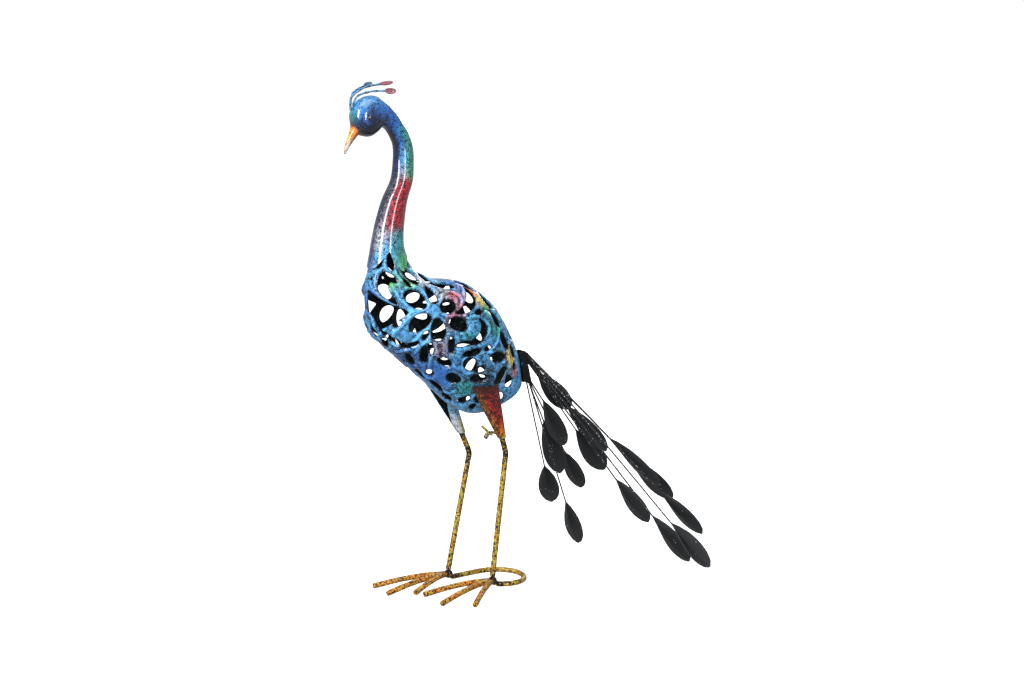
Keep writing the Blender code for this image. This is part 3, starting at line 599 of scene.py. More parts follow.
@dataclass(frozen=True)
class GoldMottle:
    """Ochre, yellow and orange paint dabbed over black rod.

    Attributes:
        name: The material's name.
        light: The lightest dabs.
        middle: The broad patches.
        deep: The darkest dabs.
    """

    name: str
    light: Colour = Colour.LIME
    middle: Colour = Colour.OCHRE
    deep: Colour = Colour.BROWN

    def make(self) -> bpy.types.Material:
        """Builds the material."""
        tree = Tree(self.name)
        paint = tree.add("ShaderNodeAttribute", attribute_name=PAINT)
        patches = tree.ramp(tree.noise(120.0, 3.0), 0.42, 0.58, 0.6)
        tint = tree.mix(patches, paint.outputs["Color"], tuple(self.middle.linear))
        tint = tree.mix(tree.ramp(tree.noise(340.0, 2.0), 0.52, 0.62, 0.75), tint, tuple(self.light.linear))
        tint = tree.mix(tree.ramp(tree.noise(260.0, 2.0), 0.52, 0.62, 0.8), tint, tuple(self.deep.linear))
        floor = tree.add("ShaderNodeMath", {0: paint.outputs["Alpha"], 1: -0.32, 2: 0.70},
                         operation="MULTIPLY_ADD").outputs[0]
        rough = tree.noise(380.0, 3.0)
        over = tree.add("ShaderNodeMath", {0: rough, 1: floor}, operation="SUBTRACT").outputs[0]
        tree.colour(tree.mix(tree.ramp(over, -0.02, 0.03), tint, tuple(Colour.BLACK.linear)))
        tree.bump(rough, 0.0011)
        tree.gloss(0.42, 0.15, 0.15, 0.25)
        return tree.material


@dataclass(frozen=True)
class Gloss:
    """A plain glossy finish with a faint mottle.

    Attributes:
        name: The material's name.
        base: The paint.
        roughness: The paint's roughness.
        coat: The weight of the clear coat.
    """

    name: str
    base: Colour
    roughness: float = 0.12
    coat: float = 1.0

    def make(self) -> bpy.types.Material:
        """Builds the material."""
        tree = Tree(self.name)
        low = tuple(self.base.linear)
        high = tuple(min(1.0, c * 1.6 + 0.004) for c in low)
        tree.colour(tree.mix(tree.ramp(tree.noise(300.0), 0.4, 0.7), low, high))
        tree.gloss(self.roughness, self.coat, 0.05, 0.5)
        return tree.material


@dataclass
class Finishes:
    """Every finish of the bird, made once.

    Attributes:
        enamel: The body's blue.
        neck: The neck's smoother, glossier enamel.
        hammered: The left thigh's red.
        inside: The dark inner faces.
        lining: The thighs' flecked inner faces.
        bracket: The tail bracket's black.
        gold: The legs, feet and loop.
        screw: The wing screws.
        glitter: The tail's leaves.
        wire: The tail's wires.
        bead: The eyes.
    """

    enamel: bpy.types.Material = field(default_factory=SpongedEnamel("blue_enamel").make)
    neck: bpy.types.Material = field(default_factory=SpongedEnamel(
        "neck_enamel", speckle_scale=760.0, fleck=0.25, bump=0.00008, roughness=0.22, coat=0.9).make)
    hammered: bpy.types.Material = field(default_factory=SpongedEnamel(
        "hammered_red", speckle_scale=480.0, dark=(0.03, 0.006, 0.004), fleck=0.0, bump=0.0016,
        roughness=0.42).make)
    inside: bpy.types.Material = field(default_factory=DarkInside("dark_inside").make)
    lining: bpy.types.Material = field(default_factory=DarkInside(
        "flecked_lining", base=(0.014, 0.015, 0.016), fleck=(0.42, 0.44, 0.44), scale=620.0).make)
    bracket: bpy.types.Material = field(default_factory=DarkInside(
        "bracket_black", base=(0.006, 0.007, 0.009), fleck=(0.05, 0.12, 0.2), scale=200.0).make)
    gold: bpy.types.Material = field(default_factory=GoldMottle("gold_mottle").make)
    screw: bpy.types.Material = field(default_factory=GoldMottle(
        "screw_mottle", light=Colour.PALE, middle=Colour.OLIVE, deep=Colour.GREY).make)
    glitter: bpy.types.Material = field(default_factory=Glitter("charcoal_leaf").make)
    wire: bpy.types.Material = field(default_factory=Glitter("charcoal_wire", cells=460.0, share=0.62).make)
    bead: bpy.types.Material = field(default_factory=Gloss("eye_bead", Colour.BLACK, 0.05).make)


def dress(piece: bpy.types.Object, *finishes: bpy.types.Material) -> None:
    """Gives a piece its materials, by slot number."""
    piece.data.materials.clear()
    for finish in finishes:
        piece.data.materials.append(finish)


def finish_piece(piece: bpy.types.Object, slot: str, nodes: Sequence[str], *finishes: bpy.types.Material) -> None:
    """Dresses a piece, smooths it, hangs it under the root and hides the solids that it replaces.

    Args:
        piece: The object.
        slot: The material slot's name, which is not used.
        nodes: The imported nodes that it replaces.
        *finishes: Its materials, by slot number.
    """
    if not piece.data.materials:
        dress(piece, *finishes)
    choose(piece)
    bpy.ops.object.shade_smooth_by_angle(angle=SMOOTH_UNDER)
    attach(piece, "root")
    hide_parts(*nodes)
    LOG.info("%s: %d faces", piece.name, len(piece.data.polygons))


class Skin:
    """The bird's outer skin as a function of place along the profile and angle round it."""

    table = np.array(PROFILE, float)

    @classmethod
    def values(cls, place: Points) -> Points:
        """The five profile values at a place."""
        return along_table(cls.table, place)

    @classmethod
    def point(cls, place: Points, angle: Points) -> Points:
        """A point of the skin: angle 0 on the back, a quarter turn on the left side."""
        values = cls.values(place)
        angle = np.asarray(angle, float)
        middle = (values[..., 0:2] + values[..., 2:4]) / 2
        half = (values[..., 0:2] - values[..., 2:4]) / 2
        return np.stack([middle[..., 0] + half[..., 0] * np.cos(angle), -values[..., 4] * np.sin(angle),
                         middle[..., 1] + half[..., 1] * np.cos(angle)], -1)

    @classmethod
    def normal(cls, place: Points, angle: Points) -> Points:
        """The outward normal of the skin."""
        step = 0.01
        along = cls.point(np.minimum(place + step, LAST), angle) - cls.point(np.maximum(place - step, 0), angle)
        around = cls.point(place, angle + step) - cls.point(place, angle - step)
        normal = np.cross(along, around)
        normal /= np.maximum(np.linalg.norm(normal, axis=-1, keepdims=True), 1e-9)
        values = cls.values(place)
        middle = np.stack([(values[..., 0] + values[..., 2]) / 2, 0 * values[..., 0],
                           (values[..., 1] + values[..., 3]) / 2], -1)
        flip = np.sign((normal * (cls.point(place, angle) - middle)).sum(-1, keepdims=True))
        return normal * np.where(flip == 0, 1, flip)

    @classmethod
    def inset(cls, place: Points, angle: Points, depth: Points) -> Points:
        """A point of the skin moved inwards by a depth."""
        return cls.point(place, angle) - cls.normal(place, angle) * np.asarray(depth, float)[..., None]


def drop(u: float, v: float, length: float, width: float, way: float, point: float = 0.0) -> Points:
    """An egg-shaped opening of the flat sheet.

    Args:
        u: Its middle along the sheet.
        v: Its middle across the sheet, with the back at negative values.
        length: Its length.
        width: Its width.
        way: Its direction in degrees.
        point: How far its tail is drawn to a tip, from -1 to 1.

    Returns:
        The outline.
    """
    turn = np.linspace(0, 2 * math.pi, 28, endpoint=False)
    along = length / 2 * np.cos(turn)
    across = width / 2 * np.sin(turn) * (1 + point * 0.75 * np.cos(turn))
    c, s = math.cos(math.radians(way)), math.sin(math.radians(way))
    return np.stack([u + along * c - across * s, v + along * s + across * c], -1)


def smooth_outline(corners: Sequence[tuple[float, float]], steps: int = 5) -> Points:
    """A closed smooth outline through a few points."""
    spots = [np.array(p, float) for p in corners]
    n = len(spots)
    return np.array([catmull(spots[i - 1], spots[i], spots[(i + 1) % n], spots[(i + 2) % n], k / steps)
                     for i in range(n) for k in range(steps)])


def crescent(u: float, v: float, outer: float, inner: float, way: float, sweep: float) -> Points:
    """A crescent opening round a centre, widest in the middle of its sweep.

    Args:
        u: The centre along the sheet.
        v: The centre across the sheet.
        outer: Its outer radius.
        inner: Its inner radius at the middle.
        way: The middle's direction in degrees.
        sweep: Its whole sweep in degrees.

    Returns:
        The outline.
    """
    turn = np.radians(way + np.linspace(-sweep / 2, sweep / 2, 15))
    fade = np.maximum(np.cos(np.linspace(-math.pi / 2, math.pi / 2, 15)), 0) ** 0.7
    ring = np.stack([np.cos(turn), np.sin(turn)], -1)
    back = ring * (outer - (outer - inner) * fade)[:, None]
    return np.array([u, v]) + np.concatenate([ring * outer, back[-2:0:-1]])


def signed_distance(points: Points, outline: Points) -> Points:
    """Distance to a closed outline, positive inside it."""
    nearest = np.full(len(points), np.inf)
    inside = np.zeros(len(points), bool)
    for p, q in zip(outline, np.roll(outline, -1, axis=0)):
        edge = q - p
        share = np.clip(((points - p) @ edge) / max(edge @ edge, 1e-9), 0, 1)
        nearest = np.minimum(nearest, np.linalg.norm(points - p - share[:, None] * edge, axis=1))
        if q[1] != p[1]:
            crosses = (p[1] > points[:, 1]) != (q[1] > points[:, 1])
            inside ^= crosses & (points[:, 0] < p[0] + (points[:, 1] - p[1]) * edge[0] / edge[1])
    return np.where(inside, nearest, -nearest)


@dataclass
class PiercedBody:
    """The two pressed and pierced halves of the body, with rolled edges round every opening.

    Attributes:
        rows: Faces along the sheet.
        columns: Faces across it.
        seam_strip: The plain strip along the seams.
        end_strip: The plain strip at both ends.
        spreads: How far each half's openings reach past their drawn outlines.
        roll_width: The width of the rolled edge round an opening.
        roll_depth: How far the rolled edge turns in.
        fold_height: How far a pressed fold stands out.
        fold_width: The width of a fold.
        valley_depth: How far the sheet sinks beside a fold.
        shade_width: The width of the painted shade along an opening's rolled edge.
        highlight_at: How far from the edge the painted highlight along the rolled edge lies.
        highlight_reach: How far that painted highlight reaches to either side.
        folds: Each fold's route over the flat sheet.
    """

    rows: int = 264
    columns: int = 160
    seam_strip: float = 6.0
    end_strip: float = 7.0
    spreads: dict[Side, float] = field(default_factory=lambda: {Side.LEFT: 1.2, Side.RIGHT: -0.9})
    roll_width: float = 5.5
    roll_depth: float = 3.0
    fold_height: float = 1.5
    fold_width: float = 2.0
    valley_depth: float = 1.0
    shade_width: float = 1.8
    highlight_at: float = 3.2
    highlight_reach: float = 2.2
    folds: list[list[tuple[float, float]]] = field(default_factory=lambda: [
        [(34, 53), (45, 50), (58, 40), (69, 30), (82, 13)],
        [(94, 82), (85, 58), (80, 33), (82, 13)],
        [(84, 13), (88, 35), (96, 58), (113, 77), (121, 66), (118, 42), (110, 23), (98, 7)],
        [(87, 11), (91, 26), (99, 38)],
        [(127, 88), (129, 62), (126, 43), (113, 21)],
        [(140, 70), (133, 48), (124, 31), (110, 14)],
        [(80, 10), (69, 17), (58, 21), (49, 19), (38, 19)],
        [(84, -4), (84, 6), (73, 14), (63, 14), (52, 10), (49, 0), (54, -12), (69, -13), (81, -8), (84, -4)],
        [(21, 6), (34, 4), (45, -6), (58, -14)],
        [(107, 12), (126, 31), (152, 50), (173, 67)],
        [(136, 31), (158, 43), (178, 40), (194, 35)],
        [(183, 92), (194, 78), (217, 75), (223, 58)],
        [(95, -18), (84, -32), (92, -46), (111, -44), (122, -26), (121, -10), (110, -7)],
        [(107, -65), (116, -47), (127, -36), (134, -22)],
        [(141, -22), (150, -34), (170, -36), (181, -28), (181, -12), (168, 2), (152, 0)],
        [(170, -50), (189, -47), (203, -32), (204, -14), (191, 2)],
        [(156, -50), (183, -49), (216, -44), (238, -33), (255, -23)],
        [(189, 23), (189, 12), (206, 7), (214, 16), (208, 29), (196, 30), (189, 23)],
        [(216, 31), (220, 17), (238, 2), (252, 4)],
        [(194, 5), (199, -7), (219, -18), (240, -21)],
        [(68, 84), (74, 75), (85, 83), (98, 90), (122, 102)],
        [(143, 100), (165, 96), (188, 86), (214, 88)],
        [(241, 66), (245, 48), (244, 36)]])

    def __post_init__(self) -> None:
        """Measures the flat sheet."""
        places = np.linspace(BODY_FROM, LAST, 241)
        angles = np.linspace(0, math.pi, 61)
        grid = Skin.point(places[:, None] + 0 * angles, angles + 0 * places[:, None])
        steps = np.linalg.norm(np.diff(grid[:, 30], axis=0), axis=1)
        self.places = places
        self.along = np.concatenate([[0], np.cumsum(steps)])
        self.along -= np.interp(FLAT_ZERO_AT, places, self.along)
        self.girth = np.linalg.norm(np.diff(grid, axis=1), axis=2).sum(1)
        self.shapes = self.openings()
        self.spread = 0.0

    @staticmethod
    def openings() -> list[Points]:
        """The outline of each opening in the flat sheet."""
        flower = [
            drop(68, 2, 32, 22, 172, 0.25),
            smooth_outline([(21, 24), (27, 12), (36, 11), (34, 19), (41, 27), (52, 29), (64, 28), (57, 35),
                            (44, 41), (29, 35)]),
            drop(100, 22, 34, 19, 250, 0.25),
            crescent(100, 33, 42, 34, 78, 62),
            drop(124, 15, 38, 15, 37, 0.35),
            drop(121, 32, 16, 4, 60),
            drop(124, 60, 26, 6, 96),
            drop(148, 57, 32, 8, 42, 0.5),
            drop(145, 44, 19, 5, 35),
        ]
        chest = [
            smooth_outline([(41, 66), (49, 57), (61, 41), (77, 22), (81, 36), (84, 54), (85, 72), (75, 72),
                            (63, 77)]),
            drop(87, 44, 13, 4, 75),
            drop(108, 90, 24, 6, 55),
            drop(24, 60, 26, 13, 110, 0.3),
            drop(9, 32, 15, 9, 90),
            drop(88, 88, 13, 7, 20),
            drop(64, 90, 22, 8, 10, 0.3),
        ]
        back = [
            drop(5, 8, 27, 9, 12, 0.4),
            drop(33, -14, 28, 12, 155, -0.3),
            drop(41, -3, 12, 4, 172),
            drop(72, -21, 33, 9, 20, 0.3),
            drop(105, -21, 25, 19, 40),
            crescent(106, -44, 31, 16, -12, 140),
            drop(78, -57, 34, 12, 144),
            drop(50, -44, 30, 12, 165, 0.3),
            drop(30, -52, 24, 9, 200, 0.3),
            drop(12, -26, 15, 9, 10),
            drop(148, -42, 11, 7, 113),
            drop(112, -84, 34, 9, 12, 0.3),
            drop(152, -78, 30, 14, 30, 0.3),
            drop(178, -56, 32, 10, 14, 0.3),
            drop(188, -84, 26, 10, 0, 0.3),
        ]
        side = [
            crescent(162, -14, 21, 12, -18, 175),
            drop(138, -7, 27, 17, 0, -0.2),
            drop(157, 20, 26, 6, 38),
            drop(167, 9, 15, 6, 120),
            drop(188, 8, 24, 8, 120),
            drop(200, 19, 19, 14, 168),
            drop(216, 13, 15, 6, 135),
            drop(200, -12, 9, 5, 116),
            drop(217, -44, 32, 11, 8),
            drop(225, -18, 27, 12, 141),
            drop(252, -6, 25, 12, 75),
            drop(272, -10, 19, 11, 20, 0.3),
            drop(246, -48, 22, 10, 15, 0.3),
            drop(222, -68, 22, 9, 10, 0.3),
            drop(266, -32, 10, 6, 38),
        ]
        belly = [
            drop(175, 44, 19, 10, 158),
            drop(182, 75, 11, 8, 75),
            drop(205, 49, 19, 13, 140, 0.3),
            drop(226, 21, 21, 8, 134),
            drop(243, 56, 20, 7, 98),
            drop(254, 33, 18, 9, 60),
            drop(281, 14, 16, 10, 20),
            drop(278, 34, 12, 9, 90),
            drop(262, 52, 12, 6, 80),
            drop(148, 84, 24, 9, 30, 0.3),
            drop(205, 82, 22, 9, 165, 0.3),
            drop(228, 80, 15, 8, 150),
            drop(180, 94, 18, 6, 0),
        ]
        return flower + chest + back + side + belly

    def half_girth(self, u: Points) -> Points:
        """Half of the sheet's width at a distance along it."""
        return np.interp(u, self.along, self.girth) / 2

    def metal(self, flat: Points) -> Points:
        """How far each flat point lies inside the metal, negative in an opening."""
        depth = np.full(len(flat), np.inf)
        for outline in self.shapes:
            depth = np.minimum(depth, -signed_distance(flat, outline) - self.spread)
        edge = self.half_girth(flat[:, 0]) - np.abs(flat[:, 1])
        ends = np.minimum(flat[:, 0] - self.along[0], self.along[-1] - flat[:, 0])
        return np.maximum(depth, np.maximum(self.seam_strip - edge, self.end_strip - ends))

    def press(self, flat: Points, depth: Points) -> Points:
        """The pressed place of flat points, sunk by a depth."""
        u, v = flat[:, 0], flat[:, 1]
        place = np.interp(u, self.along, self.places)
        angle = math.pi * np.clip(v / (2 * self.half_girth(u)) + 0.5, 0, 1)
        collar = np.clip((u - COLLAR_BLEND[0]) / (COLLAR_BLEND[1] - COLLAR_BLEND[0]), 0, 1)
        made = Skin.inset(place, angle, COLLAR_INSET * (1 - collar) + depth)
        made[:, 1] = np.minimum(made[:, 1], 0) - SEAM_GAP / 2
        return made

    def off_folds(self, flat: Points) -> Points:
        """How far each flat point lies from the nearest fold."""
        nearest = np.full(len(flat), np.inf)
        for fold in self.folds:
            line = smooth_route(fold, 4)
            for p, q in zip(line[:-1], line[1:]):
                edge = q - p
                share = np.clip(((flat - p) @ edge) / max(edge @ edge, 1e-9), 0, 1)
                nearest = np.minimum(nearest, np.linalg.norm(flat - p - share[:, None] * edge, axis=1))
        return nearest

    def flat_piece(self) -> tuple[bpy.types.Object, Points, Points]:
        """Cuts the openings out of a flat grid.

        Returns:
            The object, its flat points and how far each lies inside the metal.
        """
        deselect()
        bpy.ops.mesh.primitive_grid_add(x_subdivisions=self.rows, y_subdivisions=self.columns, size=2)
        thing = bpy.context.object
        grid = vertices_of(thing)
        u = self.along[0] + (grid[:, 0] + 1) / 2 * (self.along[-1] - self.along[0])
        flat = np.stack([u, grid[:, 1] * self.half_girth(u)], -1)
        inside = self.metal(flat) > 0
        corners = np.empty(len(thing.data.polygons) * 4, np.int32)
        thing.data.polygons.foreach_get("vertices", corners)
        set_vertices(thing, np.concatenate([flat, np.arange(len(flat))[:, None]], 1))
        delete_faces(thing, ~inside[corners.reshape(-1, 4)].any(1))
        left = vertices_of(thing)
        flat = left[:, :2]
        for _ in range(3):
            depth = self.metal(flat)
            out = depth < 0
            spots = flat[out]
            step = 0.2
            slope = np.stack([self.metal(spots + way) - self.metal(spots - way)
                              for way in ((step, 0.0), (0.0, step))], -1) / (2 * step)
            steep = np.maximum((slope * slope).sum(1, keepdims=True), 0.2)
            flat[out] = spots - depth[out, None] * slope / steep
        return thing, flat, np.maximum(self.metal(flat), 0)

    def paint(self, made: Points, depth: Points, ridge: Points, valley: Points) -> tuple[Points, Points]:
        """The paint of one half, with painted highlights and painted shade on its folds and rolled edges.

        Args:
            made: The pressed points.
            depth: How far each point lies inside the metal.
            ridge: How much of a fold's crest each point has.
            valley: How much of a fold's hollow each point has.

        Returns:
            Linear colours and amounts of speckle.
        """
        colour, dark = zoned(made, Colour.SKY, 0.46, BODY_ZONES)
        # Painted highlight along each fold's crest and painted shade in the hollows beside it.
        colour = colour * (1 + 0.35 * ridge - 0.4 * valley)[:, None]
        # Painted shade: the paint darkens towards each opening's rolled edge.
        shade = np.clip(depth / self.shade_width, 0, 1)[:, None]
        colour = colour * (0.35 + 0.65 * shade)
        # Painted highlight: a band of paler ice blue along each rolled edge.
        rim = np.clip(1 - np.abs(depth - self.highlight_at) / self.highlight_reach, 0, 1)
        colour += (Colour.ICE.linear - colour) * (0.28 * rim)[:, None]
        # Painted shade as extra dark speckle in the fold hollows and towards each opening's edge, with less on the fold
        # crests.
        return colour, dark + 0.25 * valley - 0.2 * ridge + 0.35 * (1 - shade[:, 0])

    def half(self, side: Side, flat_piece: bpy.types.Object, flat: Points, depth: Points,
             finishes: Finishes) -> None:
        """Presses one half and dresses it.

        Args:
            side: Which half.
            flat_piece: The flat pierced grid, which is copied.
            flat: Its flat points.
            depth: How far each point lies inside the metal.
            finishes: The bird's finishes.
        """
        name = f"pierced_{side.name.lower()}_half"
        piece = bpy.data.objects.new(name, flat_piece.data.copy())
        piece.data.name = name
        bpy.context.scene.collection.objects.link(piece)
        roll = self.roll_depth * (1 - np.clip(depth / self.roll_width, 0, 1)) ** 2
        seam = self.half_girth(flat[:, 0]) - np.abs(flat[:, 1])
        roll *= np.clip((flat[:, 0] - self.along[0]) / 30, 0.25, 1) * np.clip(seam / 22, 0.3, 1)
        off = self.off_folds(flat)
        ridge = np.exp(-(off / self.fold_width) ** 2)
        valley = np.exp(-((off - 2.2 * self.fold_width) / self.fold_width) ** 2)
        proud = np.clip(depth / 2.5, 0, 1) * np.clip((seam - 4) / 9, 0, 1)
        made = self.press(flat, roll + proud * (self.valley_depth * valley - self.fold_height * ridge))
        colour, dark = self.paint(made, depth, ridge, valley)
        if side is Side.RIGHT:
            made[:, 1] *= -1
        set_vertices(piece, PLACE.metres(made))
        write_paint(piece, colour, dark)
        face_outwards(piece, side)
        dress(piece, finishes.enamel, finishes.inside)
        apply_modifier(piece, "SOLIDIFY", thickness=SHEET * MM, offset=-1, material_offset=1,
                       material_offset_rim=1)
        finish_piece(piece, "blue_paint", [f"body_{side.name.lower()}_half"])

    def build(self, finishes: Finishes) -> None:
        """Models both halves from one flat sheet."""
        for side in Side:
            self.spread = self.spreads[side]
            sheet, flat, depth = self.flat_piece()
            self.half(side, sheet, flat, depth, finishes)
            bpy.data.objects.remove(sheet)


BODY_ZONES = [
    Zone((-97, 56, 417), 46, Colour.SKY, 0.16),
    Zone((-130, 39, 380), 40, Colour.SKY, 0.2),
    Zone((-70, 34, 321), 46, Colour.COBALT, 0.25),
    Zone((-78, 53, 363), 26, Colour.MAUVE, 0.55),
    Zone((-64, 60, 397), 18, Colour.MAUVE, 0.6),
    Zone((-28, 58, 385), 30, Colour.TEAL, 0.45),
    Zone((-28, 58, 390), 18, Colour.SKY, 0.4),
    Zone((-11, 50, 315), 30, Colour.SLATE, 0.6),
    Zone((-32, 40, 300), 24, Colour.TEAL, 0.55),
    Zone((15, 45, 385), 26, Colour.TEAL, 0.4),
    Zone((-158, 12, 430), 34, Colour.COBALT, 0.5),
    Zone((-110, 18, 345), 40, Colour.COBALT, 0.6),
    Zone((-32, 21, 446), 30, Colour.COBALT, 0.45),
    Zone((-94, 33, 456), 20, Colour.PALE, 0.3),
    Zone((-69, 46, 437), 20, Colour.PALE, 0.4),
    Zone((-53, 47, 432), 17, Colour.PINK, 0.4),
    Zone((-48, 55, 415), 17, Colour.PINK, 0.4),
    Zone((-62, 58, 406), 13, Colour.PINK, 0.45),
    Zone((-33, 45, 429), 14, Colour.MAUVE, 0.35),
    Zone((-14, 32, 438), 22, Colour.ORANGE, 0.3),
    Zone((-3, 39, 424), 18, Colour.YELLOW, 0.3),
    Zone((6, 42, 410), 15, Colour.GREEN, 0.4),
    Zone((-118, 39, 458), 20, Colour.GREEN, 0.25),
    Zone((-143, 32, 458), 20, Colour.GREEN, 0.25),
    Zone((-122, 30, 474), 20, Colour.DEEP_GREEN, 0.4),
    Zone((43, 40, 342), 20, Colour.YELLOW, 0.4),
    Zone((47, 38, 328), 14, Colour.YELLOW, 0.4),
    Zone((52, 36, 316), 13, Colour.PINK, 0.4),
    Zone((64, 26, 292), 20, Colour.SKY, 0.3),
]


@dataclass
class NeckAndHead:
    """The rolled neck with its notched lower rim, the head and the beak.

    Attributes:
        rows: Faces from the beak to the rim.
        columns: Faces round it.
        tip: Where the beak's end lies on the profile.
        groove_angle: The line between the beak's halves, in degrees from the back.
        groove_depth: The depth of that line.
        stops: The angles that a band's paints lie at, from the back to the front.
        bands: Each band's place along the neck, its paints by name and their speckle.
    """

    rows: int = 190
    columns: int = 80
    tip: float = 0.25
    groove_angle: float = 112.0
    groove_depth: float = 0.7
    stops: tuple[float, ...] = (0.0, 76.0, 120.0, 150.0, 180.0)
    bands: tuple[tuple[float, str, tuple[float, ...]], ...] = (
        (0.0, "OCHRE PALE OCHRE BROWN BROWN", (0.2,) * 5),
        (1.2, "ORANGE PALE OCHRE BROWN BROWN", (0.2,) * 5),
        (2.2, "YELLOW ORANGE OCHRE BROWN BROWN", (0.25,) * 5),
        (3.0, "ORANGE ORANGE BROWN BROWN BLACK", (0.35,) * 5),
        (3.5, "SLATE SLATE BLACK BLACK BLACK", (0.5,) * 5),
        (4.6, "TEAL NAVY BLACK BLACK BLACK", (0.3, 0.5, 0.6, 0.7, 0.7)),
        (5.8, "SKY COBALT BLACK BLACK BLACK", (0.2, 0.5, 0.6, 0.7, 0.7)),
        (7.0, "SKY NAVY BLACK BLACK BLACK", (0.2, 0.4, 0.6, 0.6, 0.7)),
        (8.2, "SKY COBALT SLATE BLACK BLACK", (0.2, 0.4, 0.6, 0.6, 0.7)),
        (9.2, "COBALT COBALT COBALT SLATE BLACK", (0.4, 0.45, 0.5, 0.6, 0.6)),
        (10.4, "TEAL COBALT COBALT NAVY NAVY", (0.4, 0.45, 0.5, 0.6, 0.6)),
        (11.4, "DEEP_GREEN TEAL COBALT BLACK NAVY", (0.4, 0.45, 0.5, 0.7, 0.7)),
        (12.6, "DEEP_GREEN JADE COBALT BLACK NAVY", (0.45, 0.45, 0.45, 0.7, 0.7)),
        (14.0, "DEEP_GREEN JADE SKY NAVY NAVY", (0.45, 0.4, 0.4, 0.6, 0.6)),
        (14.7, "DEEP_GREEN JADE MAUVE SLATE NAVY", (0.45, 0.45, 0.4, 0.5, 0.6)),
        (15.1, "RED RED RED GREY SLATE", (0.6, 0.56, 0.56, 0.6, 0.7)),
        (16.2, "RED RED RED GREY SLATE", (0.6, 0.56, 0.56, 0.6, 0.7)),
        (17.1, "DARK_RED RED RED MAUVE SLATE", (0.62, 0.6, 0.6, 0.62, 0.7)),
        (17.6, "TEAL TEAL MAUVE PALE SLATE", (0.5, 0.5, 0.5, 0.5, 0.6)),
        (18.4, "TEAL TEAL SKY PALE NAVY", (0.45, 0.45, 0.45, 0.45, 0.6)),
        (19.2, "GREEN JADE SKY SKY NAVY", (0.35, 0.35, 0.4, 0.35, 0.5)),
        (20.4, "GREEN GREEN SKY PALE COBALT", (0.3, 0.3, 0.3, 0.3, 0.5)),
    )

    def rim(self, angle: Points) -> Points:
        """The rim's place along the profile at an angle."""
        turn, place = (np.array(column, float) for column in zip(*NECK_RIM))
        degrees = np.degrees(angle)
        return np.interp(np.where(degrees > 180, 360 - degrees, degrees), turn, place)

    def where(self, s: Points, t: Points) -> tuple[Points, Points]:
        """The place along the profile and the angle of a grid point."""
        angle = 2 * math.pi * t
        split = 0.86
        straight = self.tip + (NECK_TUBE_TO - self.tip) * np.clip(s / split, 0, 1)
        rest = np.clip((s - split) / (1 - split), 0, 1)
        return straight + (self.rim(angle) - NECK_TUBE_TO) * rest, angle

    def shape(self, s: Points, t: Points) -> Points:
        """The surface, with the line between the beak's halves."""
        place, angle = self.where(s, t)
        turn = np.degrees(np.minimum(angle, 2 * math.pi - angle))
        groove = np.exp(-((turn - self.groove_angle) / 9) ** 2) * np.clip(3.6 - place, 0, 1) * np.clip(place, 0, 1)
        made = Skin.inset(place, angle, self.groove_depth * groove)
        end = s <= 0
        made[end] = made[end].mean(0)
        return made

    def paint(self, place: Points, angle: Points) -> tuple[Points, Points]:
        """The neck's bands of colour."""
        turn = np.degrees(np.minimum(angle, 2 * math.pi - angle))
        rows = np.array([band[0] for band in self.bands])
        colours = np.array([[Colour[name].linear for name in band[1].split()] for band in self.bands])
        darks = np.array([band[2] for band in self.bands])
        across = np.clip(np.interp(turn, self.stops, np.arange(5)), 0, 4 - 1e-6)
        down = np.clip(np.interp(place, rows, np.arange(len(rows))), 0, len(rows) - 1 - 1e-6)
        i, j = down.astype(int), across.astype(int)
        a, b = (down - i)[:, None], (across - j)[:, None]
        made = []
        for table in (colours, darks[..., None]):
            top = table[i, j] * (1 - b) + table[i, j + 1] * b
            low = table[i + 1, j] * (1 - b) + table[i + 1, j + 1] * b
            made.append(top * (1 - a) + low * a)
        return made[0], made[1][:, 0]

    def build(self, finishes: Finishes) -> None:
        """Models the neck, gives it its wall and paints it."""
        kept: dict[str, Points] = {}

        def shape(s: Points, t: Points) -> Points:
            """Keeps each point's place and angle while it shapes the grid."""
            kept["place"], kept["angle"] = self.where(s, t)
            return self.shape(s, t)

        piece = shaped_grid("neck_and_crown", self.rows, self.columns, shape)
        write_paint(piece, *self.paint(kept["place"], kept["angle"]))
        merge_doubles(piece)
        dress(piece, finishes.neck, finishes.inside)
        apply_modifier(piece, "SOLIDIFY", thickness=SHEET * MM, offset=-1, material_offset=1,
                       material_offset_rim=1)
        finish_piece(piece, "blue_paint", ["neck_and_head"])


@dataclass
class Eyes:
    """Glossy beads let into the sides of the head.

    Attributes:
        place: Where they sit on the profile.
        angle: How far round from the back, in degrees.
        radius: A bead's radius.
    """

    place: float = 6.5
    angle: float = 89.0
    radius: float = 3.8

    def build(self, finishes: Finishes) -> None:
        """Models both beads."""
        angle = np.array([math.radians(self.angle)])
        spot = Skin.point(np.array([self.place]), angle)[0]
        out = Skin.normal(np.array([self.place]), angle)[0]
        for side in Side:
            flip = np.array([1, -side.value, 1])
            middle = PLACE.metres((spot + out * 0.3) * flip)
            deselect()
            bpy.ops.mesh.primitive_uv_sphere_add(segments=32, ring_count=20, radius=self.radius * MM,
                                                 location=(0, 0, 0))
            bead = bpy.context.object
            bead.name = bead.data.name = f"eye_bead_{side.name.lower()}"
            turn = Vector(out * flip).to_track_quat("Z", "Y").to_matrix()
            squashed = vertices_of(bead) * (1, 1, 0.72)
            set_vertices(bead, squashed @ np.array(turn).T + middle)
            finish_piece(bead, "eye_gloss", [f"eye_{side.name.lower()}"], finishes.bead)


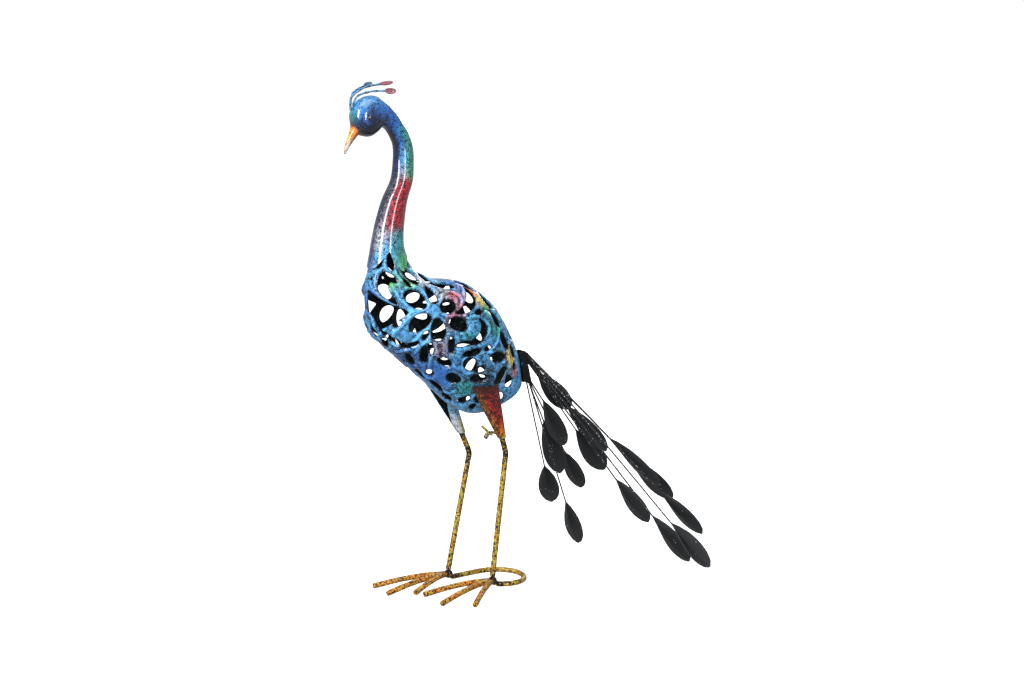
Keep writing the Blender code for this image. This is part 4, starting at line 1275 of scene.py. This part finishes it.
@dataclass
class Crest:
    """Three wires on the crown with flattened ends.

    Attributes:
        wire: The wires' radius.
        routes: Each wire's route.
        paddles: Each flattened end's length, width and turn in degrees.
    """

    wire: float = 1.5
    routes: dict[str, list[tuple[float, float, float]]] = field(default_factory=lambda: {
        "left": [(-183, -3, 691), (-181, -5, 701), (-175, -7, 709), (-157, -10, 714), (-138, -13, 714.5)],
        "centre": [(-184, 0, 689), (-184.5, 0, 700), (-180, 0, 709), (-163, 0, 719), (-139, 0, 723.5)],
        "right": [(-183, 3, 691), (-181, 5, 701), (-177, 8, 711), (-167, 11, 717), (-155, 15, 721)],
    })
    paddles: dict[str, tuple[float, float, float]] = field(default_factory=lambda: {
        "left": (15.0, 9.0, 60.0), "centre": (19.0, 8.0, 35.0), "right": (14.0, 9.0, 40.0)})

    def build(self, finishes: Finishes) -> None:
        """Models the three feathers."""
        for key, route in self.routes.items():
            line = smooth_route(route, 6)
            length, width, turn = self.paddles[key]
            ahead = Vector(line[-1] - line[-2]).normalized()
            side = Matrix.Rotation(math.radians(turn), 3, ahead) @ ahead.cross(Vector((0, 0, 1))).normalized()
            face = side.cross(ahead)

            def paddle(s: Points, t: Points) -> Points:
                """A small leaf, a little dished."""
                spread = width / 2 * np.sin(math.pi * (0.12 + 0.83 * s)) ** 0.6
                across = (2 * t - 1) * spread
                lift = 0.9 * np.sin(math.pi * s) - (across / width) ** 2 * 2.5
                return (line[-1] + (s * length)[:, None] * np.array(ahead) + across[:, None] * np.array(side)
                        - lift[:, None] * np.array(face))

            blade = shaped_grid("blade", 18, 10, paddle)
            apply_modifier(blade, "SOLIDIFY", thickness=1.2 * MM, offset=0)
            swell = self.wire * (1 + 0.18 * np.sin(np.arange(len(line)) * 1.7))
            piece = joined(f"crest_{key}", [rod("stem", line, swell), blade])
            where = PLACE.millimetres(vertices_of(piece))
            far = np.clip((where[:, 0] - line[-1][0]) / 6 + 0.5, 0, 1)[:, None]
            end = Colour.STEEL if key == "right" else Colour.PINK
            colour = Colour.STEEL.linear * (1 - far) + end.linear * 0.5 * far
            write_paint(piece, colour, np.full(len(where), 0.4))
            finish_piece(piece, "blue_paint", [f"crest_feather_{key}"], finishes.enamel)


@dataclass
class Legs:
    """Thighs of sheet, leg rods, feet and the loop behind them.

    Attributes:
        ankles: Where each thigh ends.
        bends: Where each leg bends.
        welds: Where each foot is welded.
        thigh_tops: The middle of each thigh's upper end.
        toe_tips: Where each toe ends on the ground.
        loop: The loop's route on the ground.
        thigh_top_half: Half of a thigh's width at its upper end.
        thigh_bulge: How far a thigh bulges outwards there.
        open_top: How far round the left thigh wraps at its upper end, in degrees.
        open_end: How far round it wraps at its sleeve, in degrees.
        off_body: How far a thigh stands off the body.
        weld_radius: The radius of a foot's weld.
    """

    ankles: dict[Side, tuple[float, float, float]] = field(default_factory=lambda: {
        Side.LEFT: (34.5, -30.0, 217.0), Side.RIGHT: (1.0, 28.0, 217.0)})
    bends: dict[Side, tuple[float, float, float]] = field(default_factory=lambda: {
        Side.LEFT: (41.0, -29.0, 197.0), Side.RIGHT: (13.0, 28.0, 189.0)})
    welds: dict[Side, tuple[float, float, float]] = field(default_factory=lambda: {
        Side.LEFT: (16.0, -33.0, 10.0), Side.RIGHT: (-23.0, 29.0, 10.0)})
    thigh_tops: dict[Side, tuple[float, float, float]] = field(default_factory=lambda: {
        Side.LEFT: (-6.0, -50.0, 303.0), Side.RIGHT: (-32.0, 50.0, 303.0)})
    toe_tips: dict[Side, list[tuple[float, float]]] = field(default_factory=lambda: {
        Side.LEFT: [(-92.0, -23.5), (-90.0, -73.0), (-53.0, -102.0)],
        Side.RIGHT: [(-136.0, 50.0), (-134.0, 8.0), (-99.0, -10.5)]})
    loop: list[tuple[float, float]] = field(default_factory=lambda: [
        (-13.0, 31.5), (8.0, 33.0), (30.0, 34.5), (50.0, 32.0), (66.0, 22.0), (76.0, 8.0), (79.0, -7.0),
        (76.0, -22.0), (68.0, -34.0), (53.0, -42.0), (38.0, -41.0), (26.0, -35.5)])
    thigh_top_half: float = 22.0
    thigh_bulge: float = 9.0
    open_top: float = 78.0
    open_end: float = 128.0
    off_body: float = 1.2
    weld_radius: float = 6.6

    def __post_init__(self) -> None:
        """Lays points over the body's skin."""
        places, angles = np.linspace(BODY_FROM, LAST, 90), np.linspace(0, math.pi, 60)
        self.body = Skin.point(places[:, None] + 0 * angles, angles + 0 * places[:, None]).reshape(-1, 3)

    def body_reach(self, x: float, z: float) -> float:
        """How far the body's skin stands out at a place beside it."""
        near = (self.body[:, 0] - x) ** 2 + (self.body[:, 2] - z) ** 2
        best = np.argsort(near)[:6]
        return float(np.abs(self.body[best, 1]).max()) if near[best[0]] < 64 else 0.0

    def thigh_net(self, side: Side) -> Points:
        """Points that a thigh's skin passes through, in rows from its top to its sleeve."""
        ankle, top = np.array(self.ankles[side]), np.array(self.thigh_tops[side])
        sleeve = ROD_RADIUS + GAP + SHEET + 0.8
        net = np.empty((7, 8, 3))
        for r in range(7):
            share = r / 6
            x_mid, y_mid, z = top + (ankle - top) * share * 0.965
            half = self.thigh_top_half + (sleeve - self.thigh_top_half) * share
            reach = self.open_top + (self.open_end - self.open_top) * share
            bulge = self.thigh_bulge * (1 - share) + sleeve * share
            start, end = (reach, reach) if side is Side.LEFT else (60 + 14 * share, 150 + 132 * share ** 1.5)
            for c in range(8):
                angle = math.radians(-start + (start + end) * c / 7)
                x = x_mid + half * math.sin(angle)
                need = self.body_reach(x, z) + self.off_body + SHEET if abs(angle) < 2.2 else 0.0
                net[r, c] = (x, side.value * max(abs(y_mid) + bulge * math.cos(angle), need), z)
        return net

    @staticmethod
    def thigh_paint(side: Side, s: Points, t: Points) -> tuple[Points, Points]:
        """A thigh's paint at places down it and round it.

        Args:
            side: Which thigh.
            s: Places from the top, 0, to the sleeve, 1.
            t: Places round it, from its front edge, 0, to its rear edge, 1.

        Returns:
            Linear colours and amounts of speckle.
        """
        down = s[:, 0]
        if side is Side.LEFT:
            body = Colour.DARK_RED.linear * (1 - s) + Colour.SCARLET.linear * s
            body = body + (Colour.RED.linear - body) * np.clip(1 - np.abs(s - 0.35) * 3, 0, 1) * 0.7
            edge = np.clip(1.5 - t / (0.2 + 0.18 * s), 0, 1)
            colour = body + (Colour.OCHRE.linear - body) * edge * np.clip(s * 5, 0.2, 1)
            colour = colour + (Colour.ORANGE.linear - colour) * np.clip((s - 0.7) / 0.15, 0, 1)
            colour = colour + (Colour.LIME.linear * 0.8 - colour) * np.clip((s - 0.93) / 0.05, 0, 1)
            return colour, 0.75 - 0.35 * down + 0.3 * edge[:, 0]
        pale = np.clip((s - 0.55) / 0.22, 0, 1)
        bottom = np.clip((s - 0.68) / 0.14, 0, 1) * np.clip((0.86 - t) / 0.22, 0, 1)
        colour = Colour.ICE.linear + (Colour.PALE.linear - Colour.ICE.linear) * pale
        return colour + (Colour.OLIVE.linear - colour) * bottom, 0.5 - 0.2 * down

    def thigh(self, side: Side, finishes: Finishes) -> None:
        """Models one thigh as a rolled half cone.

        Args:
            side: Which thigh.
            finishes: The bird's finishes.
        """
        net = self.thigh_net(side)
        kept: dict[str, Points] = {}

        def shape(s: Points, t: Points) -> Points:
            """The thigh's surface through its net, whose grid places are kept for the paint."""
            kept["s"], kept["t"] = s, t
            rows = along_table(net, s * 6)
            place = np.clip(t * 7, 0, 7 - 1e-9)
            j = np.floor(place).astype(int)
            n = np.arange(len(s))
            return catmull(rows[n, np.maximum(j - 1, 0)], rows[n, j], rows[n, j + 1],
                           rows[n, np.minimum(j + 2, 7)], (place - j)[:, None])

        piece = shaped_grid(f"rolled_thigh_{side.name.lower()}", 56, 44, shape)
        write_paint(piece, *self.thigh_paint(side, kept["s"][:, None], kept["t"][:, None]))
        face_outwards(piece, side)
        dress(piece, finishes.hammered if side is Side.LEFT else finishes.enamel, finishes.lining)
        apply_modifier(piece, "SOLIDIFY", thickness=SHEET * MM, offset=-1, material_offset=1,
                       material_offset_rim=0)
        finish_piece(piece, "red_paint", [f"thigh_{side.name.lower()}"])

    def gold_paint(self, piece: bpy.types.Object, darks: Sequence[tuple[tuple[float, float, float], float]],
                   low: Colour = Colour.OCHRE, high: Colour = Colour.OLIVE) -> None:
        """Paints rods in two tones, darker round given places.

        Args:
            piece: The object.
            darks: Places and reaches of the darker patches.
            low: One tone.
            high: The other.
        """
        where = PLACE.millimetres(vertices_of(piece))
        dark = np.full(len(where), 0.55)
        for spot, reach in darks:
            far = np.linalg.norm(where - np.array(spot), axis=1) / reach
            dark += (0.95 - dark) * np.clip(1.3 - 1.3 * far, 0, 1)
        tone = 0.5 + 0.5 * np.sin(where[:, 0] * 0.13 + where[:, 2] * 0.11)
        colour = low.linear + (high.linear - low.linear) * tone[:, None]
        write_paint(piece, colour, dark)

    def leg(self, side: Side, finishes: Finishes) -> None:
        """Models one leg rod."""
        ankle, bend, weld = (Vector(p[side]) for p in (self.ankles, self.bends, self.welds))
        lean = (ankle - bend).normalized()
        foot = weld + Vector((0, 0, self.weld_radius + GAP))
        down = (bend - foot).normalized()
        into = (Vector(self.thigh_tops[side]) - ankle).normalized()
        straight = [foot + (bend - down * 12 - foot) * n / 12 for n in range(12)]
        curve = smooth_route([bend - down * 12, bend - down * 3, bend + lean * 7, ankle - lean * 1.5,
                              ankle + into * 2, ankle + into * 26], 5)
        route = np.concatenate([np.array([tuple(p) for p in straight]), curve])
        wobble = ROD_RADIUS * (1 + 0.02 * np.sin(np.arange(len(route)) * 2.1))
        piece = rod(f"leg_rod_{side.name.lower()}", route, wobble, 5)
        self.gold_paint(piece, [(self.bends[side], 20.0), (self.ankles[side], 12.0), (self.welds[side], 22.0)])
        finish_piece(piece, "gold_paint", [f"leg_{side.name.lower()}"], finishes.gold)

    def foot(self, side: Side, finishes: Finishes) -> None:
        """Models one foot: three toes run together with their weld."""
        weld = np.array(self.welds[side])
        parts = []
        for n, tip in enumerate(self.toe_tips[side]):
            end = np.array((tip[0], tip[1], ROD_RADIUS - 0.4))
            route = [weld + (0, 0, 0.2 * n)]
            for share, height in ((0.3, 11.5), (0.6, 9.6), (0.85, 6.2)):
                spot = weld + (end - weld) * share
                spot[2] = height
                route.append(spot)
            route.append(end)
            parts.append(rod(f"toe_{n}", smooth_route(route, 6), ROD_RADIUS, 4))
        deselect()
        bpy.ops.mesh.primitive_ico_sphere_add(subdivisions=4, radius=self.weld_radius * MM,
                                              location=tuple(PLACE.metres(weld)))
        parts.append(bpy.context.object)
        bpy.ops.object.transform_apply(location=True)
        piece = joined(f"toes_{side.name.lower()}", parts)
        apply_modifier(piece, "REMESH", mode="VOXEL", voxel_size=0.9 * MM, use_smooth_shade=True)
        apply_modifier(piece, "SMOOTH", factor=0.5, iterations=4)
        spots = vertices_of(piece)
        spots[:, 2] = np.maximum(spots[:, 2], 0)
        set_vertices(piece, spots)
        self.gold_paint(piece, [(self.welds[side], 24.0)], Colour.ORANGE, Colour.OCHRE)
        finish_piece(piece, "gold_paint", [f"foot_{side.name.lower()}"], finishes.gold)

    def wing_screw(self, side: Side, finishes: Finishes) -> None:
        """Models the wing screw that holds one leg in its sleeve."""
        low, high = (np.array(tuple(c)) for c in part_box(f"wing_screw_{side.name.lower()}"))
        ahead, up = np.array((0.857, 0.515 * side.value, 0.0)), np.array((0.0, 0.0, 1.0))
        hub = PLACE.millimetres((low + high) / 2) - ahead * 1.7 + up * 5.0
        ankle, top = np.array(self.ankles[side]), np.array(self.thigh_tops[side])
        sleeve = ankle + (top - ankle) * 0.1
        sleeve = sleeve + (hub - sleeve) / np.linalg.norm(hub - sleeve) * 6.8
        parts = [
            rod("shank", smooth_route([hub, (hub + sleeve) / 2 + up * 1.2, sleeve], 4), 1.9),
            rod("long_ear", smooth_route([hub, hub - ahead * 5 + up * 5, hub - ahead * 10 + up * 10], 4),
                np.linspace(2.3, 1.8, 9)),
            rod("round_ear", smooth_route([hub + up, hub - ahead * 3 - up * 4.5, hub - ahead * 5 - up * 8.5], 4),
                2.4 + 1.3 * np.sin(np.linspace(0.3, 2.8, 9))),
            rod("knob", smooth_route([hub + ahead * 1.5 + up, hub + ahead * 3.5 - up * 1.5, hub + ahead * 5.5 - up * 3],
                                     4), 2.0 + 1.1 * np.sin(np.linspace(0.3, 2.8, 9))),
        ]
        piece = joined(f"wing_nut_{side.name.lower()}", parts)
        count = len(piece.data.vertices)
        write_paint(piece, np.tile(Colour.OLIVE.linear, (count, 1)), np.full(count, 0.6))
        finish_piece(piece, "gold_paint", [f"wing_screw_{side.name.lower()}"], finishes.screw)

    def ground_loop(self, finishes: Finishes) -> None:
        """Models the loop that steadies the bird."""
        height = ROD_RADIUS * math.cos(math.pi / 8)
        line = [(x, y, height) for x, y in self.loop]
        line = [(-21.0, 29.6, 7.5), (-17.0, 30.4, 5.5)] + line + [(22.0, -34.6, 5.5), (16.5, -33.2, 7.5)]
        route = smooth_route(line, 6)
        piece = rod("ground_loop", route, height, 5)
        self.gold_paint(piece, [((*self.loop[0], height), 16.0), ((*self.loop[-1], height), 16.0)])
        finish_piece(piece, "gold_paint", ["base_loop"], finishes.gold)

    def build(self, finishes: Finishes) -> None:
        """Models both legs and the loop."""
        for side in Side:
            self.thigh(side, finishes)
            self.leg(side, finishes)
            self.foot(side, finishes)
            self.wing_screw(side, finishes)
        self.ground_loop(finishes)


@dataclass
class Tail:
    """The fan of feathers: a wire and a dished leaf each.

    Attributes:
        feathers: Heading, fall, whole length, leaf length and twist by name.
        roots: Each weld's place across and down the bracket.
        centre: Where the fan's lines meet.
        width: A leaf's width.
        dish: How deep a leaf is dished.
        fold: How far a leaf is folded at its base, in degrees.
        opening: The fold that is left at its round end, in degrees.
        steep_from: Wires welded lower than this run down the bracket first.
        wire_radius: A wire's radius.
    """

    feathers: dict[str, tuple[float, float, float, float, float]] = field(default_factory=lambda: {
        "left_1": (47, 46.5, 408, 85, 30), "left_2": (36, 51.0, 392, 89, -55),
        "left_3": (27, 45.5, 384, 93, -42), "left_4": (19, 53.5, 326, 87, -45),
        "left_5": (22, 44.5, 290, 110, -35), "left_6": (14, 44.5, 334, 100, -48),
        "centre_1": (7, 48.5, 208, 102, -40), "centre_2": (-2, 52.0, 242, 87, -55),
        "centre_3": (-9, 45.0, 130, 90, -45), "right_1": (-12, 60.0, 170, 87, -20),
        "right_2": (-25, 55.0, 284, 82, -5), "right_3": (-30, 59.0, 236, 108, -30),
        "right_4": (-45, 54.0, 334, 88, -10), "right_5": (-23, 65.0, 350, 82, 0)})
    roots: dict[str, tuple[float, float]] = field(default_factory=lambda: {
        "left_1": (9.0, 3.0), "left_2": (9.0, 8.0), "left_3": (6.7, 3.0), "left_4": (6.7, 13.0),
        "left_5": (4.4, 3.0), "left_6": (4.4, 8.0), "centre_1": (2.1, 8.0), "centre_2": (2.1, 14.0),
        "centre_3": (2.1, 3.0), "right_1": (-0.2, 43.0), "right_5": (-2.5, 46.0),
        "right_2": (-4.8, 40.0), "right_3": (-7.1, 37.0), "right_4": (-9.3, 34.0)})
    centre: tuple[float, float, float] = (87.0, 0.0, 330.0)
    width: float = 33.0
    dish: float = 5.0
    fold: float = 52.0
    opening: float = 14.0
    steep_from: float = 25.0
    wire_radius: float = 1.2

    def line(self, key: str) -> tuple[Vector, Vector, Vector, Vector]:
        """A feather's weld, its leaf's base, its way and the bracket's downward way."""
        heading, fall, length, leaf, _ = self.feathers[key]
        across, lower = self.roots[key]
        top = Vector((BRACKET_TOP[0], 0, BRACKET_TOP[1]))
        down = (Vector((BRACKET_BOTTOM[0], 0, BRACKET_BOTTOM[1])) - top).normalized()
        out = Vector((-down.z, 0, down.x))
        root = top + down * lower + Vector((0, -across, 0)) + out * (WIRE_RADIUS + GAP + 0.4)
        turn, fall = math.radians(heading), math.radians(fall)
        way = Vector((math.cos(turn) * math.cos(fall), -math.sin(turn) * math.cos(fall), -math.sin(fall)))
        return root, Vector(self.centre) + way * (length - leaf), way, down

    def wire(self, key: str, finishes: Finishes) -> None:
        """Models one wire, from where it is welded to the bracket."""
        root, base, way, down = self.line(key)
        end = base + way * 3.0
        sag = Vector((0, 0, 1)) * ((end - root).length * 0.008)
        route = [root, root + (end - root) * 0.5 + sag, end]
        lower = self.roots[key][1]
        if lower > self.steep_from:
            route = [root - down * (lower - 6), root - down * 3, root + (end - root).normalized() * 3, end]
        piece = rod(f"stem_{key}", smooth_route(route, 8), self.wire_radius, 2)
        write_paint(piece, vertices_of(piece) * 0, np.full(len(piece.data.vertices), 0.3))
        finish_piece(piece, "graphite_paint", [f"tail_wire_{key}"], finishes.wire)

    def leaf(self, key: str, finishes: Finishes) -> None:
        """Models one leaf: folded at its base and open towards its round end."""
        _, base, way, _ = self.line(key)
        length, twist = self.feathers[key][3:5]
        level = way.cross(Vector((0, 0, 1))).normalized()
        face = level.cross(way).normalized()
        spin = Matrix.Rotation(math.radians(twist), 3, way)
        level, face = np.array(spin @ level), np.array(spin @ face)
        stations = np.array([(0.0, 0.06), (0.14, 0.38), (0.36, 0.80), (0.6, 1.0), (0.8, 0.88), (0.94, 0.53),
                             (1.0, 0.12)])

        def shape(s: Points, t: Points) -> Points:
            """The leaf's surface."""
            row = np.interp(s, stations[:, 0], np.arange(len(stations)))
            spread = np.maximum(along_table(stations, row)[:, 1], 0.05)
            fold = np.radians(self.fold * (1 - s) ** 1.5 + self.opening)
            reach = (2 * t - 1) * spread * self.width / 2
            edge = np.abs(2 * t - 1)
            rise = np.abs(reach) ** 1.15 * 0.62 * np.tan(fold * 0.62) / 0.8 - self.dish * np.sin(math.pi * s)
            rise = rise + 0.8 * edge ** 6 * np.sin(math.pi * s)
            across = reach * np.cos(fold * 0.5)
            return (np.array(base) + (s * length)[:, None] * np.array(way) + across[:, None] * level
                    + rise[:, None] * face)

        piece = shaped_grid(f"leaf_{key}", 40, 20, shape)
        spots = vertices_of(piece)
        s, t = np.meshgrid(np.linspace(0, 1, 41), np.linspace(0, 1, 21))
        edge = np.maximum(np.abs(2 * t - 1), s)
        tone = 0.42 * np.clip((edge - 0.35) / 0.5, 0, 1) + 0.55 * np.clip((edge - 0.93) / 0.05, 0, 1)
        write_paint(piece, spots * 0, tone.ravel() * np.clip(s.ravel() * 6, 0, 1))
        apply_modifier(piece, "SOLIDIFY", thickness=LEAF_SHEET * MM, offset=0)
        finish_piece(piece, "graphite_paint", [f"tail_leaf_{key}"], finishes.glitter)

    def build(self, finishes: Finishes) -> None:
        """Models every feather."""
        for key in self.feathers:
            self.wire(key, finishes)
            self.leaf(key, finishes)


@dataclass
class KeptSolid:
    """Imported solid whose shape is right, given its finish.

    Attributes:
        node: The solid's node.
    """

    node: str = "tail_bracket"

    def build(self, finishes: Finishes) -> None:
        """Assigns the finish."""
        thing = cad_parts[self.node]
        if not thing.material_slots:
            thing.data.materials.append(finishes.bracket)
        for slot in thing.material_slots:
            slot.material = finishes.bracket
        LOG.info("%s keeps its solid", self.node)


@dataclass
class Studio:
    """Camera, lights and a pale floor.

    Attributes:
        target: The point that the camera looks at, in the bird's millimetres.
        heading: The camera's turn about the upright in degrees.
        pitch: The camera's height above the level in degrees.
        distance: The camera's distance in metres.
        lens: The lens in millimetres.
        world: The brightness all round.
        backdrop: The brightness that the camera sees behind the bird.
        lamps: Each soft box's place and size in metres and its power in watts.
    """

    target: tuple[float, float, float] = (50.6, -30.4, 359.0)
    heading: float = -31.0
    pitch: float = 9.5
    distance: float = 2.44
    lens: float = 60.0
    world: float = 0.42
    backdrop: float = 1.1
    lamps: dict[str, tuple[tuple[float, float, float], tuple[float, float], float]] = field(default_factory=lambda: {
        "key": ((-3.0, -0.7, 1.7), (0.75, 1.9), 104.0), "fill": ((-0.7, -3.0, 1.2), (0.4, 1.9), 48.0),
        "top": ((-0.4, -0.3, 2.6), (1.8, 1.8), 34.0), "back": ((2.6, 2.4, 1.6), (0.8, 1.6), 40.0)})

    def camera(self) -> None:
        """Sets the camera to the photograph's view."""
        turn, rise = math.radians(self.heading), math.radians(self.pitch)
        back = Vector((math.sin(turn) * math.cos(rise), -math.cos(turn) * math.cos(rise), math.sin(rise)))
        deselect()
        bpy.ops.object.camera_add()
        camera = bpy.context.object
        camera.location = Vector(PLACE.metres(self.target)) + back * self.distance
        camera.rotation_euler = back.to_track_quat("Z", "Y").to_euler()
        camera.data.lens = self.lens
        camera.data.sensor_width = 36.0
        bpy.context.scene.camera = camera

    def light(self, name: str, place: tuple[float, float, float], size: tuple[float, float], power: float) -> None:
        """Adds a soft box that faces the bird.

        Args:
            name: The light's name.
            place: Its place in metres.
            size: Its width and height in metres.
            power: Its power in watts.
        """
        bpy.ops.object.light_add(type="AREA", location=place)
        lamp = bpy.context.object
        lamp.name = name
        lamp.data.shape = "RECTANGLE"
        lamp.data.size, lamp.data.size_y = size
        lamp.data.energy = power
        aim = Vector(place) - Vector((0.0, 0.0, 0.4))
        lamp.rotation_euler = aim.to_track_quat("Z", "Y").to_euler()

    def build(self) -> None:
        """Sets up the whole studio."""
        self.camera()
        for name, lamp in self.lamps.items():
            self.light(name, *lamp)
        world = bpy.data.worlds.new("studio")
        bpy.context.scene.world = world
        world.use_nodes = True
        tree = world.node_tree
        seen = tree.nodes.new("ShaderNodeLightPath").outputs["Is Camera Ray"]
        strength = tree.nodes.new("ShaderNodeMapRange")
        strength.inputs["To Min"].default_value = self.world
        strength.inputs["To Max"].default_value = self.backdrop
        tree.links.new(seen, strength.inputs["Value"])
        tree.links.new(strength.outputs["Result"], tree.nodes["Background"].inputs["Strength"])
        tree.nodes["Background"].inputs["Color"].default_value = (1, 1, 1, 1)
        bpy.context.scene.view_settings.view_transform = "Standard"
        deselect()
        bpy.ops.mesh.primitive_grid_add(x_subdivisions=4, y_subdivisions=4, size=60, location=(0, 0, 0))
        floor = bpy.context.object
        floor.name = "floor"
        floor.visible_glossy = False
        floor.visible_diffuse = False
        tree = Tree("pale_floor")
        tree.colour(tree.mix(tree.noise(3.0), (0.9, 0.9, 0.9), (0.92, 0.92, 0.92)))
        tree.gloss(0.9, 0.0, 0.5, 0.5)
        tree.shader.inputs["Emission Color"].default_value = (1, 1, 1, 1)
        tree.shader.inputs["Emission Strength"].default_value = 0.8
        floor.data.materials.append(tree.material)


def main() -> None:
    """Builds the bird and its studio in order."""
    logging.basicConfig(level=logging.INFO, format="%(name)s: %(message)s")
    finishes = Finishes()
    for sub_assembly in (PiercedBody(), NeckAndHead(), Eyes(), Crest(), Legs(), Tail(), KeptSolid()):
        sub_assembly.build(finishes)
    Studio().build()


if __name__ == "__main__":
    main()
